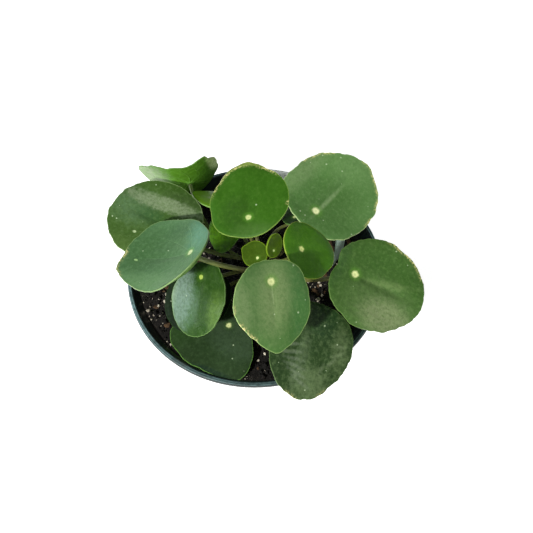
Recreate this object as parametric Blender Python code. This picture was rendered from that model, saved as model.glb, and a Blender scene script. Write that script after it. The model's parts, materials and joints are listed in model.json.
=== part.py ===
"""A potted pilea: a squat plastic pot of soil, a short woody trunk and round leaves on stalks.

Metres, +Z up. The origin is on the table, under the middle of the pot. Heights that are
measured from the pot's rim are positive upwards. The plant's own sizes are in millimetres.
"""

import math
from dataclasses import dataclass

import bmesh
import bpy
from mathutils import Matrix, Vector, geometry, noise

MM = 0.001
GAP = 0.3 * MM
HOLE_GAP = 0.36 * MM
SEAT_GAP = 0.39 * MM
TURN = 2 * math.pi

# Pot
POT_HEIGHT = 80 * MM
RIM_RADIUS = 77.5 * MM
RIM_WIDTH = 3.0 * MM
LIP_DEPTH = 3.2 * MM
LIP_ROUND = 0.9 * MM
WALL_TOP_RADIUS = 74.6 * MM
BASE_RADIUS = 47 * MM
WALL = 1.4 * MM
FOOT_WIDTH = 4 * MM
BOSS_RADIUS = 13 * MM
RECESS = 2.2 * MM
DRAIN_HOLES = 6
DRAIN_RADIUS = 3.5 * MM
DRAIN_CIRCLE = 28 * MM
TURNED_SIDES = 48

# Soil
SOIL_UNDER_RIM = 15.5 * MM
MOUND_AT = Vector((-66 * MM, -14 * MM, 0))
MOUND_RISE = 8.5 * MM
MOUND_SPREAD = 16 * MM
LUMP_HEIGHT = 1.0 * MM
LUMP_SIZE = 9 * MM
SOIL_RINGS = 9

# Trunk
TRUNK_FOOT = Vector((7 * MM, 4 * MM, 0))
TRUNK_LEAN = Vector((-1.5 * MM, -11 * MM, 0))
TRUNK_TOP_OVER_RIM = 24 * MM
TRUNK_IN_SOIL = 18 * MM
TRUNK_FOOT_RADIUS = 4.8 * MM
TRUNK_TOP_RADIUS = 3.4 * MM
SCAR_PITCH = 6.6 * MM
SCAR_RINGS = 3
SCAR_SWELL = 1.07
TRUNK_SIDES = 12
TRUNK_HOLE_OVER_RIM = 5 * MM

# Growing tip
TIP_HEIGHT = 9.5 * MM
TIP_RADIUS = 1.3 * MM
TIP_PROFILE = ((0, 0.7), (0.2, 1.0), (0.5, 0.95), (0.8, 0.6), (1, 0.2))

# Label
LABEL_WIDTH = 12 * MM
LABEL_THICK = 0.8 * MM
LABEL_AT = Vector((52 * MM, 14 * MM, 0))
LABEL_TURN = math.radians(55)
LABEL_TOP_OVER_RIM = 22 * MM
LABEL_IN_SOIL = 17 * MM
LABEL_CORNER = 2.5 * MM
LABEL_CORNER_STEPS = 4
LABEL_POINT = 12 * MM

# Leaves
BLADE_THICK = 0.8 * MM
BLADE_SIDES = 32
BLADE_RINGS = (0.36, 0.70, 1.0)
TIP_SHARPNESS = 6
BLADE_CORNERS = 3
EDGE_WAVES = 5
STALK_SIDES = 8
STALK_POINTS = 10
STALK_THINNING = 0.8
STALK_COLLAR = 1.0 * MM


@dataclass(frozen=True)
class Leaf:
    """One leaf. Lengths are in millimetres, angles in degrees, bends in 1/metre.

    spot is where the stalk meets the blade: x, y and the height over the pot's rim. The blade
    leans from level by `lean` towards the compass direction `lean_to`, and its midrib runs
    towards `heading`. `base` is the share of its length behind the spot. `stalk` gives the
    height over the rim at which the stalk leaves the trunk, its direction and its climb there,
    how far it keeps to each end's direction, and its radius.
    """

    name: str
    spot: tuple
    lean: float
    lean_to: float
    heading: float
    length: float
    width: float
    base: float
    bend_along: float
    bend_across: float
    twist: float
    stalk: tuple
    tip: float = 0.03
    corner: float = 0.0
    corner_at: float = 0.0
    wave: float = 0.35
    fresh: float = 0.0


LEAVES = (
    Leaf("crown", (-2.5, -10.5, 63), 13, -136, 89, 44, 42, 0.27, -1.0, 0.4, 1.3,
         (19, 150, 62, 16, 14, 1.2), corner=0.015, corner_at=33, fresh=0.7),
    Leaf("back_right", (34.5, 11, 40), 17, -27, 50, 56.5, 54, 0.24, 3.2, -0.6, -0.2,
         (4, 26, 30, 14, 18, 1.5), corner=0.019, corner_at=-1, wave=0.5),
    Leaf("right", (54, -29, 37), 25, -52, -24, 53.5, 51, 0.265, 2.1, 1.3, 1.0,
         (-11, -50, 38, 24, 5, 1.5), wave=0.6),
    Leaf("inner_right", (25, -21.5, 50), 36, -11, 9, 33.5, 32.5, 0.34, -0.4, -2.6, -1.2,
         (16, -35, 35, 14, 12, 1.2), corner=0.021, corner_at=2, fresh=0.6),
    Leaf("front", (9, -46, 58), 30, -41, -75, 44.5, 40.5, 0.27, -3.1, 0.6, -2.3,
         (12, -92, 5, 26, 18, 1.4), tip=0.036, corner=0.036, corner_at=12),
    Leaf("inner_left", (-29.5, -23.5, 25), 37, -157, -110, 41, 38.5, 0.225, -3.5, 2.0, 1.0,
         (-4, -154, 40, 14, 8, 1.4), corner=0.013, corner_at=12),
    Leaf("low_front_left", (-15.5, -36.5, -8.5), 3, -118, -137, 42.5, 51, 0.26, 0.0, -1.0, -1.0,
         (-12.5, -118, 0, 14, 3, 1.1), tip=0.02, corner=0.08, corner_at=-38, wave=0.25),
    Leaf("front_right", (31.5, -51.5, 19), 26, -61, -94, 52, 47.5, 0.29, -0.3, 0.5, -1.6,
         (-4, -74, 10, 22, 14, 1.5), tip=0.04, corner=0.043, corner_at=-10, wave=0.5),
    Leaf("left", (-33, -23.5, 50), 40, 160, 168, 53.5, 49.5, 0.26, 8.5, 3.2, -1.1,
         (2, -119, 50, 26, 5, 1.6), corner=0.052, corner_at=37),
    Leaf("back_left", (-46.5, 6.5, 30), 6, -137, 153, 57, 51.5, 0.29, 2.3, 1.2, -0.5,
         (6.5, 180, 11, 30, 15, 1.5), corner=0.01, corner_at=56, wave=0.5),
    Leaf("youngest_left", (2, -15.5, 32), 24, -142, 121, 15.5, 15, 0.30, -1.0, 0.6, 1.0,
         (21, -125, 35, 5, 4, 0.9), wave=0.1, fresh=1.0),
    Leaf("youngest_right", (10.5, -13, 36), 61, -44, 115, 13.5, 11, 0.31, -0.5, 9.0, 4.0,
         (21, -55, 40, 5, 4, 0.9), tip=0.05, wave=0.1, fresh=1.0),
    Leaf("inner_back_left", (-15, 31, 25), 30, 95, 170, 32, 29.5, 0.30, 9.3, -4.2, 7.3,
         (6, 122, 20, 12, 10, 1.2), wave=0.2, fresh=0.8),
    Leaf("small_left", (-13.5, 13.5, 22), 37, -158, 180, 27, 25.5, 0.315, -3.3, 2.0, -1.7,
         (10, 150, 15, 9, 8, 1.1), wave=0.2, fresh=0.6),
    Leaf("behind_crown", (-5.5, 26, 36), 13, 130, 92, 37, 34, 0.31, 3.6, -2.6, -1.8,
         (17.5, 118, 30, 12, 12, 1.2), fresh=0.6),
    Leaf("small_right", (24, 23, 18), 23, 120, 40, 24, 22, 0.315, -1.7, 1.8, 1.0,
         (15, 82, 15, 18, 4, 1.1), wave=0.2, fresh=0.4),
    Leaf("low_left", (-26, -20.5, 8), 13, -162, -142, 41, 42, 0.27, -4.4, 3.0, 0.9,
         (-10, -152, 18, 12, 8, 1.3)),
    Leaf("back_turned", (-40, 42, 28), 75, 107, 114, 45, 45.5, 0.41, 10.0, 22.0, 17.0,
         (-8, 155, -15, 39, 2, 1.2), corner=0.06, corner_at=-53, wave=0.2, fresh=0.3),
)


def srgb(red, green, blue):
    """Returns the linear colour of a screen colour given in 0 to 255."""
    parts = [channel / 255 for channel in (red, green, blue)]
    return [part / 12.92 if part < 0.04045 else ((part + 0.055) / 1.055) ** 2.4 for part in parts]


def blend(low, high, share):
    """Returns the colour that lies the given share of the way from one to the other."""
    return [a + (b - a) * share for a, b in zip(low, high)]


def material(name, colour, roughness):
    made = bpy.data.materials.new(name)
    made.use_nodes = True
    shader = made.node_tree.nodes["Principled BSDF"]
    shader.inputs["Base Color"].default_value = (*colour, 1.0)
    shader.inputs["Roughness"].default_value = roughness
    shader.inputs["Metallic"].default_value = 0.0
    return made


def place(name, mesh, finish, plant=None):
    """Adds the mesh to the scene as an object with its material."""
    thing = bpy.data.objects.new(name, mesh)
    bpy.context.scene.collection.objects.link(thing)
    mesh.materials.append(finish)
    thing.parent = plant
    return thing


def mesh_of(name, bm, smooth_below=40):
    """Closes a bmesh into a mesh with its faces pointing out."""
    bmesh.ops.recalc_face_normals(bm, faces=bm.faces)
    mesh = bpy.data.meshes.new(name)
    bm.to_mesh(mesh)
    bm.free()
    mesh.shade_smooth()
    mesh.set_sharp_from_angle(angle=math.radians(smooth_below))
    return mesh


def cut(thing, cutter):
    """Cuts one object out of another and leaves the cutter as a hidden wire."""
    cutter.hide_render = True
    cutter.display_type = "WIRE"
    knife = thing.modifiers.new("cut by " + cutter.name, "BOOLEAN")
    knife.operation = "DIFFERENCE"
    knife.solver = "EXACT"
    knife.object = cutter


def turned(name, profile):
    """Spins a profile of radius and height, which starts and ends on the axis."""
    bm = bmesh.new()
    corners = [bm.verts.new((radius, 0, height)) for radius, height in profile]
    edges = [bm.edges.new(pair) for pair in zip(corners, corners[1:])]
    bmesh.ops.spin(bm, geom=corners + edges, cent=(0, 0, 0), axis=(0, 0, 1), dvec=(0, 0, 0),
                   angle=TURN, steps=TURNED_SIDES, use_duplicate=False)
    bmesh.ops.remove_doubles(bm, verts=bm.verts, dist=0.01 * MM)
    return mesh_of(name, bm)


def tube(name, points, radii, sides):
    """Makes a closed round tube through the points, with a radius at each, from a curve."""
    curve = bpy.data.curves.new(name, "CURVE")
    curve.dimensions = "3D"
    curve.bevel_depth = 1.0
    curve.bevel_resolution = (sides - 4) // 2
    curve.use_fill_caps = True
    run = curve.splines.new("POLY")
    run.points.add(len(points) - 1)
    for spot, point, radius in zip(run.points, points, radii):
        spot.co = (*point, 1)
        spot.radius = radius
    guide = bpy.data.objects.new(name, curve)
    bpy.context.scene.collection.objects.link(guide)
    bpy.context.view_layer.update()
    made = bpy.data.meshes.new_from_object(guide.evaluated_get(bpy.context.evaluated_depsgraph_get()))
    bpy.data.objects.remove(guide)
    bm = bmesh.new()
    bm.from_mesh(made)
    bpy.data.meshes.remove(made)
    bmesh.ops.remove_doubles(bm, verts=bm.verts, dist=0.01 * MM)
    return mesh_of(name, bm)


def wall_radius(height):
    """The radius of the pot's outer wall at a height over the table."""
    share = height / (POT_HEIGHT - LIP_DEPTH)
    return BASE_RADIUS + (WALL_TOP_RADIUS - BASE_RADIUS) * share


def pot_profile():
    lip_foot = POT_HEIGHT - LIP_DEPTH
    floor = RECESS + WALL
    foot_inside = BASE_RADIUS - FOOT_WIDTH
    mouth = RIM_RADIUS - RIM_WIDTH
    throat = POT_HEIGHT - 2 * LIP_ROUND
    return [
        (0, 0), (BOSS_RADIUS, 0), (BOSS_RADIUS + RECESS, RECESS), (foot_inside - RECESS, RECESS),
        (foot_inside, 0), (BASE_RADIUS - LIP_ROUND, 0), (wall_radius(LIP_ROUND), LIP_ROUND),
        (wall_radius(lip_foot), lip_foot), (RIM_RADIUS - LIP_ROUND, lip_foot),
        (RIM_RADIUS, lip_foot + LIP_ROUND), (RIM_RADIUS, POT_HEIGHT - LIP_ROUND),
        (RIM_RADIUS - LIP_ROUND / 3, POT_HEIGHT - LIP_ROUND / 3),
        (RIM_RADIUS - LIP_ROUND, POT_HEIGHT), (mouth + LIP_ROUND / 2, POT_HEIGHT),
        (mouth, POT_HEIGHT - LIP_ROUND / 2), (wall_radius(throat) - WALL, throat),
        (wall_radius(floor) - WALL, floor), (0, floor),
    ]


def make_pot(finish):
    pot = place("pot", turned("pot", pot_profile()), finish)
    bm = bmesh.new()
    for hole in range(DRAIN_HOLES):
        angle = TURN * (hole + 0.5) / DRAIN_HOLES
        centre = Vector((DRAIN_CIRCLE * math.cos(angle), DRAIN_CIRCLE * math.sin(angle), RECESS))
        made = bmesh.ops.create_cone(bm, cap_ends=True, segments=16, radius1=DRAIN_RADIUS,
                                     radius2=DRAIN_RADIUS, depth=6 * WALL)
        bmesh.ops.translate(bm, verts=made["verts"], vec=centre)
    cut(pot, place("drain_holes", mesh_of("drain_holes", bm), finish))
    return pot


def soil_height(x, y):
    """The height of the soil's surface: level, with a mound at the left and with lumps."""
    away = (Vector((x, y, 0)) - MOUND_AT).length_squared
    mound = MOUND_RISE * math.exp(-away / (2 * MOUND_SPREAD ** 2))
    lumps = LUMP_HEIGHT * noise.noise(Vector((x / LUMP_SIZE, y / LUMP_SIZE, 0)))
    return POT_HEIGHT - SOIL_UNDER_RIM + mound + lumps


def soil_edge(angle):
    """The point where the soil's surface meets the pot's inner wall, in one direction."""
    radius = wall_radius(POT_HEIGHT - SOIL_UNDER_RIM) - WALL - GAP
    for _ in range(4):
        height = soil_height(radius * math.cos(angle), radius * math.sin(angle))
        radius = wall_radius(height) - WALL - GAP
    return Vector((radius * math.cos(angle), radius * math.sin(angle), height))


def make_soil(finish, plant):
    bm = bmesh.new()
    angles = [TURN * side / TURNED_SIDES for side in range(TURNED_SIDES)]
    edge = [soil_edge(angle) for angle in angles]
    rings = []
    for ring in range(1, SOIL_RINGS):
        spots = [point * (ring / SOIL_RINGS) for point in edge]
        rings.append([bm.verts.new((p.x, p.y, soil_height(p.x, p.y))) for p in spots])
    rings.append([bm.verts.new(point) for point in edge])
    floor = RECESS + WALL + GAP
    foot = wall_radius(floor) - WALL - GAP
    rings.append([bm.verts.new((foot * math.cos(a), foot * math.sin(a), floor)) for a in angles])
    for inner, outer in zip(rings, rings[1:]):
        for side in range(TURNED_SIDES):
            after = (side + 1) % TURNED_SIDES
            bm.faces.new((inner[side], outer[side], outer[after]))
            bm.faces.new((inner[side], outer[after], inner[after]))
    middle = bm.verts.new((0, 0, soil_height(0, 0)))
    for side in range(TURNED_SIDES):
        bm.faces.new((middle, rings[0][side], rings[0][(side + 1) % TURNED_SIDES]))
    bm.faces.new(rings[-1])
    return place("soil", mesh_of("soil", bm), finish, plant)


def trunk_centre(height):
    """The middle of the trunk at a height: it leans forwards more and more as it climbs."""
    foot = POT_HEIGHT - SOIL_UNDER_RIM
    share = (height - foot) / (TRUNK_TOP_OVER_RIM + SOIL_UNDER_RIM)
    return TRUNK_FOOT + TRUNK_LEAN * max(share, 0) ** 1.5 + Vector((0, 0, height))


def trunk_radius(height):
    foot = POT_HEIGHT - SOIL_UNDER_RIM
    share = min(max((height - foot) / (TRUNK_TOP_OVER_RIM + SOIL_UNDER_RIM), 0), 1)
    return TRUNK_FOOT_RADIUS + (TRUNK_TOP_RADIUS - TRUNK_FOOT_RADIUS) * share


def make_trunk(finish, plant, soil):
    bottom = POT_HEIGHT - SOIL_UNDER_RIM - TRUNK_IN_SOIL
    top = POT_HEIGHT + TRUNK_TOP_OVER_RIM
    steps = round((top - bottom) / SCAR_PITCH) * SCAR_RINGS
    heights = [bottom + (top - bottom) * step / steps for step in range(steps + 1)]
    swells = [SCAR_SWELL if step % SCAR_RINGS == 0 else 1 for step in range(steps + 1)]
    points = [trunk_centre(height) for height in heights]
    radii = [trunk_radius(height) * swell for height, swell in zip(heights, swells)]
    trunk = place("trunk", tube("trunk", points, radii, TRUNK_SIDES), finish, plant)
    buried = [step for step, height in enumerate(heights) if height < POT_HEIGHT + TRUNK_HOLE_OVER_RIM]
    hole_points = [points[0] - Vector((0, 0, GAP))] + [points[step] for step in buried[1:]]
    hole_radii = [radii[step] + HOLE_GAP for step in buried]
    hole = tube("trunk_hole", hole_points, hole_radii, TRUNK_SIDES)
    cut(soil, place("trunk_hole", hole, finish, plant))
    return trunk


def make_growing_tip(finish, plant):
    """The folded new leaf on top of the trunk."""
    top = trunk_centre(POT_HEIGHT + TRUNK_TOP_OVER_RIM)
    onward = (top - trunk_centre(POT_HEIGHT + TRUNK_TOP_OVER_RIM - MM)).normalized()
    points = [top + onward * (SEAT_GAP + TIP_HEIGHT * share) for share, _ in TIP_PROFILE]
    mesh = tube("growing_tip", points, [TIP_RADIUS * width for _, width in TIP_PROFILE], STALK_SIDES)
    return place("growing_tip", mesh, finish, plant)


def label_mesh(name, spread):
    """The label's outline, grown by `spread`, made as thick as the label."""
    right = LABEL_WIDTH / 2 + spread
    left = -right
    top = POT_HEIGHT + LABEL_TOP_OVER_RIM
    soil = POT_HEIGHT - SOIL_UNDER_RIM
    shoulder = soil - LABEL_IN_SOIL + LABEL_POINT
    outline = [(left, shoulder), (0, soil - LABEL_IN_SOIL - 2 * spread), (right, shoulder)]
    for centre, start in ((right - LABEL_CORNER, 0), (left + LABEL_CORNER, TURN / 4)):
        for step in range(LABEL_CORNER_STEPS + 1):
            angle = start + TURN / 4 * step / LABEL_CORNER_STEPS
            outline.append((centre + LABEL_CORNER * math.cos(angle),
                            top - LABEL_CORNER + LABEL_CORNER * math.sin(angle)))
    bm = bmesh.new()
    back = LABEL_THICK / 2 + spread
    face = bm.faces.new([bm.verts.new((x, back, z)) for x, z in outline])
    pushed = bmesh.ops.extrude_face_region(bm, geom=[face], use_keep_orig=True)
    front = [part for part in pushed["geom"] if isinstance(part, bmesh.types.BMVert)]
    bmesh.ops.translate(bm, verts=front, vec=(0, -2 * back, 0))
    bmesh.ops.rotate(bm, verts=bm.verts, cent=(0, 0, 0), matrix=Matrix.Rotation(LABEL_TURN, 3, "Z"))
    bmesh.ops.translate(bm, verts=bm.verts, vec=LABEL_AT)
    return mesh_of(name, bm, 20)


def make_label(finish, plant, soil):
    """The blank plastic label that stands in a slot in the soil."""
    cut(soil, place("label_slot", label_mesh("label_slot", HOLE_GAP), finish, plant))
    return place("plant_label", label_mesh("plant_label", 0), finish, plant)


def blade_frame(leaf):
    """The spot where the stalk meets the blade, with the blade's own three directions."""
    lean = math.radians(leaf.lean)
    lean_to = math.radians(leaf.lean_to)
    heading = math.radians(leaf.heading)
    x, y, rise = leaf.spot
    spot = Vector((x, y, rise)) * MM + Vector((0, 0, POT_HEIGHT))
    up = Vector((math.sin(lean) * math.cos(lean_to), math.sin(lean) * math.sin(lean_to), math.cos(lean)))
    along = Vector((math.cos(heading), math.sin(heading), 0))
    along = (along - up * along.dot(up)).normalized()
    return spot, along, up.cross(along), up


def blade_outline(leaf, angle):
    """The blade's edge in its own plane, from the spot: an ellipse with a tip and faint corners."""
    swell = 1 + leaf.tip * ((1 + math.cos(angle)) / 2) ** TIP_SHARPNESS
    swell += leaf.corner * math.cos(BLADE_CORNERS * (angle - math.radians(leaf.corner_at)))
    x = leaf.length * (0.5 - leaf.base) + leaf.length / 2 * swell * math.cos(angle)
    return x * MM, leaf.width / 2 * swell * math.sin(angle) * MM


def blade_lift(leaf, x, y, share, angle):
    """How far the blade rises from its plane: its bends, its twist and a soft wave at the edge."""
    bend = leaf.bend_along * x * x + leaf.bend_across * y * y + leaf.twist * x * y
    return bend + leaf.wave * MM * share ** 3 * math.sin(EDGE_WAVES * angle + leaf.heading)


def make_blade(leaf, finish, plant):
    spot, along, across, up = blade_frame(leaf)
    bm = bmesh.new()
    middle = bm.verts.new(spot)
    rings = []
    for share in BLADE_RINGS:
        ring = []
        for side in range(BLADE_SIDES):
            angle = TURN * side / BLADE_SIDES
            x, y = (value * share for value in blade_outline(leaf, angle))
            lift = blade_lift(leaf, x, y, share, angle)
            ring.append(bm.verts.new(spot + along * x + across * y + up * lift))
        rings.append(ring)
    for side in range(BLADE_SIDES):
        after = (side + 1) % BLADE_SIDES
        bm.faces.new((middle, rings[0][side], rings[0][after]))
        for inner, outer in zip(rings, rings[1:]):
            bm.faces.new((inner[side], outer[side], outer[after]))
            bm.faces.new((inner[side], outer[after], inner[after]))
    name = "leaf_" + leaf.name + "_blade"
    mesh = bpy.data.meshes.new(name)
    bm.to_mesh(mesh)
    bm.free()
    mesh.shade_smooth()
    blade = place(name, mesh, finish, plant)
    body = blade.modifiers.new("thickness", "SOLIDIFY")
    body.thickness = BLADE_THICK
    body.offset = 0
    return blade


def stalk_path(leaf):
    """The stalk's middle line: out of the trunk, then up square to the blade's underside."""
    over_rim, toward, climb, keep_low, keep_high, radius = leaf.stalk
    spot, _, _, up = blade_frame(leaf)
    height = POT_HEIGHT + over_rim * MM
    toward = math.radians(toward)
    climb = math.radians(climb)
    out = Vector((math.cos(toward), math.sin(toward), 0))
    lead = out * math.cos(climb) + Vector((0, 0, math.sin(climb)))
    trunk_lean = out.dot(trunk_centre(height + MM) - trunk_centre(height)) / MM
    slant = abs(math.sin(climb) + trunk_lean * math.cos(climb))
    away = trunk_radius(height) * SCAR_SWELL + GAP + radius * MM * slant
    start = trunk_centre(height) + out * away
    end = spot - up * (BLADE_THICK / 2 + SEAT_GAP)
    collar = end - up * STALK_COLLAR
    return geometry.interpolate_bezier(start, start + lead * keep_low * MM,
                                       collar - up * keep_high * MM, collar, STALK_POINTS - 1) + [end]


def make_stalk(leaf, finish, plant):
    points = stalk_path(leaf)
    radius = leaf.stalk[-1] * MM
    radii = [radius * (1 + (STALK_THINNING - 1) * step / (STALK_POINTS - 1)) for step in range(STALK_POINTS)]
    name = "leaf_" + leaf.name + "_stalk"
    return place(name, tube(name, points, radii, STALK_SIDES), finish, plant)


def make_leaves(plant):
    old_green = srgb(84, 118, 66)
    young_green = srgb(98, 142, 34)
    old_stalk = srgb(122, 112, 76)
    young_stalk = srgb(140, 158, 84)
    for leaf in LEAVES:
        blade_finish = material("blade " + leaf.name, blend(old_green, young_green, leaf.fresh), 0.38)
        stalk_finish = material("stalk " + leaf.name, blend(old_stalk, young_stalk, leaf.fresh), 0.5)
        make_blade(leaf, blade_finish, plant)
        make_stalk(leaf, stalk_finish, plant)


def main():
    for thing in list(bpy.data.objects):
        bpy.data.objects.remove(thing)
    plant = bpy.data.objects.new("plant", None)
    bpy.context.scene.collection.objects.link(plant)
    make_pot(material("pot plastic", srgb(58, 78, 72), 0.45))
    soil = make_soil(material("soil", srgb(38, 33, 29), 0.95), plant)
    make_trunk(material("bark", srgb(112, 82, 60), 0.8), plant, soil)
    make_growing_tip(material("growing tip", srgb(168, 178, 120), 0.5), plant)
    make_label(material("label plastic", srgb(168, 178, 174), 0.5), plant, soil)
    make_leaves(plant)


main()
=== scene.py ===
"""The looks of a potted pilea: round waxy leaves on stalks, a woody trunk, and soil in a plastic pot.

Lengths are in metres, except where a name or a docstring says millimetres. The pot stands at the
origin with +Z up, and the camera looks from -Y, above the plant.
"""

import json
import logging
import math
import random
from contextlib import contextmanager
from dataclasses import dataclass
from enum import Enum
from functools import cache, cached_property
from typing import Callable, Iterator, Optional, Sequence, Union

import bmesh
import bpy
from mathutils import Euler, Matrix, Vector, geometry, noise

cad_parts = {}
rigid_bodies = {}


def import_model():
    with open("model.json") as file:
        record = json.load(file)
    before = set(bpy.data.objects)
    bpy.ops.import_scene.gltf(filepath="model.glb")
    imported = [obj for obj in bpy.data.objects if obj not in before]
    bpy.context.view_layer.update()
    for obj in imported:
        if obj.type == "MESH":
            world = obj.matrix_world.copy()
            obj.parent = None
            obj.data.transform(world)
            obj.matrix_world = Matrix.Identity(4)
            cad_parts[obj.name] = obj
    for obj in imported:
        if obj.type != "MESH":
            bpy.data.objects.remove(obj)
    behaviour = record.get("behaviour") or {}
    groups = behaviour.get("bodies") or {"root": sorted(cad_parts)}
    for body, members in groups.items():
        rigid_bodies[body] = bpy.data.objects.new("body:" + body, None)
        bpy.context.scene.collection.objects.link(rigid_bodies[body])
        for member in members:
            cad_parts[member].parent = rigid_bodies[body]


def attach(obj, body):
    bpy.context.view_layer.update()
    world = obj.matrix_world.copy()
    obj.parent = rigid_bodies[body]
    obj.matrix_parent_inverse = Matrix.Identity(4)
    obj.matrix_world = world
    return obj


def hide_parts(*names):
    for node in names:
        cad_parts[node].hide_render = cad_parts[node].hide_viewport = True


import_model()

log = logging.getLogger("pilea")

MM = 0.001
TURN = 2 * math.pi
BODY = "root"

Colour = tuple[float, float, float]
Feed = Union[float, Colour, Vector, "Wire"]
Wires = dict[str, "Wire"]
Material = bpy.types.Material
Piece = bpy.types.Object


def screen(red: float, green: float, blue: float) -> Colour:
    """Turns a colour as a screen shows it into light.

    Args:
        red: Red, 0 to 255.
        green: Green, 0 to 255.
        blue: Blue, 0 to 255.

    Returns:
        The linear colour.
    """
    parts = [channel / 255 for channel in (red, green, blue)]
    linear = [part / 12.92 if part < 0.04045 else ((part + 0.055) / 1.055) ** 2.4 for part in parts]
    return linear[0], linear[1], linear[2]


def blend(low: Colour, high: Colour, share: float) -> Colour:
    """Returns the colour a share of the way from one to the other."""
    mixed = [a + (b - a) * share for a, b in zip(low, high)]
    return mixed[0], mixed[1], mixed[2]


def ease(value: float, low: float, high: float) -> float:
    """Returns 0 below `low`, 1 above `high`, and a smooth step between them."""
    share = min(max((value - low) / (high - low), 0.0), 1.0)
    return share * share * (3 - 2 * share)


class Wire:
    """A value in a node tree. Arithmetic on it adds Math nodes."""

    def __init__(self, graph: "Graph", socket: bpy.types.NodeSocket) -> None:
        """Holds an output of one of the graph's nodes."""
        self.graph = graph
        self.socket = socket

    def __getitem__(self, output: Union[int, str]) -> "Wire":
        """Returns another output of the same node."""
        return Wire(self.graph, self.socket.node.outputs[output])

    def __add__(self, other: Feed) -> "Wire":
        """Adds a sum."""
        return self.graph.math("ADD", self, other)

    def __sub__(self, other: Feed) -> "Wire":
        """Adds a difference."""
        return self.graph.math("SUBTRACT", self, other)

    def __rsub__(self, other: Feed) -> "Wire":
        """Adds the difference of a number and this."""
        return self.graph.math("SUBTRACT", other, self)

    def __mul__(self, other: Feed) -> "Wire":
        """Adds a product."""
        return self.graph.math("MULTIPLY", self, other)

    def __truediv__(self, other: Feed) -> "Wire":
        """Adds a quotient."""
        return self.graph.math("DIVIDE", self, other)

    def __abs__(self) -> "Wire":
        """Adds the value without its sign."""
        return self.graph.math("ABSOLUTE", self)


class Graph:
    """A node tree while it is being wired."""

    def __init__(self, tree: bpy.types.NodeTree) -> None:
        """Starts on a tree."""
        self.tree = tree

    def feed(self, socket: bpy.types.NodeSocket, value: Feed) -> None:
        """Feeds an input.

        Args:
            socket: The input.
            value: The wire that is linked to it, or the number, vector or colour that it is set to.
        """
        if isinstance(value, Wire):
            self.tree.links.new(value.socket, socket)
        elif isinstance(value, tuple) and socket.type == "RGBA":
            socket.default_value = (*value, 1.0)
        else:
            socket.default_value = value

    def node(self, kind: str, feeds: Union[Sequence[Feed], dict] = (), **settings: object) -> Wire:
        """Adds a node.

        Args:
            kind: Its kind, such as "Math".
            feeds: What its inputs get, in their order, or by their names or numbers.
            settings: Its settings.

        Returns:
            Its first output.
        """
        made = self.tree.nodes.new("ShaderNode" + kind)
        for name, setting in settings.items():
            setattr(made, name, setting)
        for key, value in feeds.items() if isinstance(feeds, dict) else enumerate(feeds):
            self.feed(made.inputs[key], value)
        return Wire(self, made.outputs[0])

    def math(self, operation: str, *values: Feed) -> Wire:
        """Adds one step of arithmetic."""
        return self.node("Math", values, operation=operation)

    def vector(self, operation: str, *values: Feed) -> Wire:
        """Adds one step of vector arithmetic."""
        return self.node("VectorMath", values, operation=operation)

    def step(self, value: Feed, low: Feed, high: Feed, first: Feed = 0.0, last: Feed = 1.0) -> Wire:
        """Adds a smooth step of `value` between `low` and `high`, from `first` to `last`."""
        return self.node("MapRange", (value, low, high, first, last), interpolation_type="SMOOTHSTEP")

    def mix(self, share: Feed, low: Feed, high: Feed, **settings: object) -> Wire:
        """Adds a mix of two colours."""
        return self.node("Mix", {0: share, 6: low, 7: high}, data_type="RGBA", **settings)[2]

    def noise(self, place: Feed, scale: Feed, detail: float = 2.0, rough: float = 0.5) -> Wire:
        """Adds smooth noise of about 0 to 1, with `scale` waves to one unit of `place`."""
        return self.node("TexNoise", {"Vector": place, "Scale": scale, "Detail": detail, "Roughness": rough})

    def shifted(self, place: Feed, scale: Colour, by: Colour = (0, 0, 0)) -> Wire:
        """Adds a stretch and a shift of a place."""
        return self.node("Mapping", {"Vector": place, "Location": by, "Scale": scale})

    def parts(self, place: Feed) -> tuple[Wire, ...]:
        """Splits a vector into its three numbers."""
        first = self.node("SeparateXYZ", (place,))
        return first, first[1], first[2]

    def use(self, effect: type["Effect"], **inputs: Feed) -> Wire:
        """Places a shared effect. An input's name is given with _ for each space."""
        feeds = {name.replace("_", " "): value for name, value in inputs.items()}
        return self.node("Group", feeds, node_tree=effect.group())


class Effect:
    """A node group that several finishes share. Its subclass says what it is called, takes and gives.

    Attributes:
        name: Its name.
        inputs: The kind of each of its inputs, by name.
    """

    name: str
    inputs: dict[str, str]

    @classmethod
    @cache
    def group(cls) -> bpy.types.NodeTree:
        """Builds the group when it is first asked for.

        Returns:
            The group.
        """
        tree = bpy.data.node_groups.new(cls.name, "ShaderNodeTree")
        for label, kind in cls.inputs.items():
            tree.interface.new_socket(name=label, in_out="INPUT", socket_type="NodeSocket" + kind)
        graph = Graph(tree)
        given = tree.nodes.new("NodeGroupInput")
        results = cls.wire(graph, {socket.name: Wire(graph, socket) for socket in given.outputs})
        for label in results:
            tree.interface.new_socket(name=label, in_out="OUTPUT", socket_type="NodeSocketFloat")
        ends = tree.nodes.new("NodeGroupOutput")
        for label, value in results.items():
            graph.feed(ends.inputs[label], value)
        return tree

    @staticmethod
    def wire(graph: Graph, given: Wires) -> Wires:
        """Wires the effect from its inputs to its outputs, in a subclass."""
        raise NotImplementedError


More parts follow.
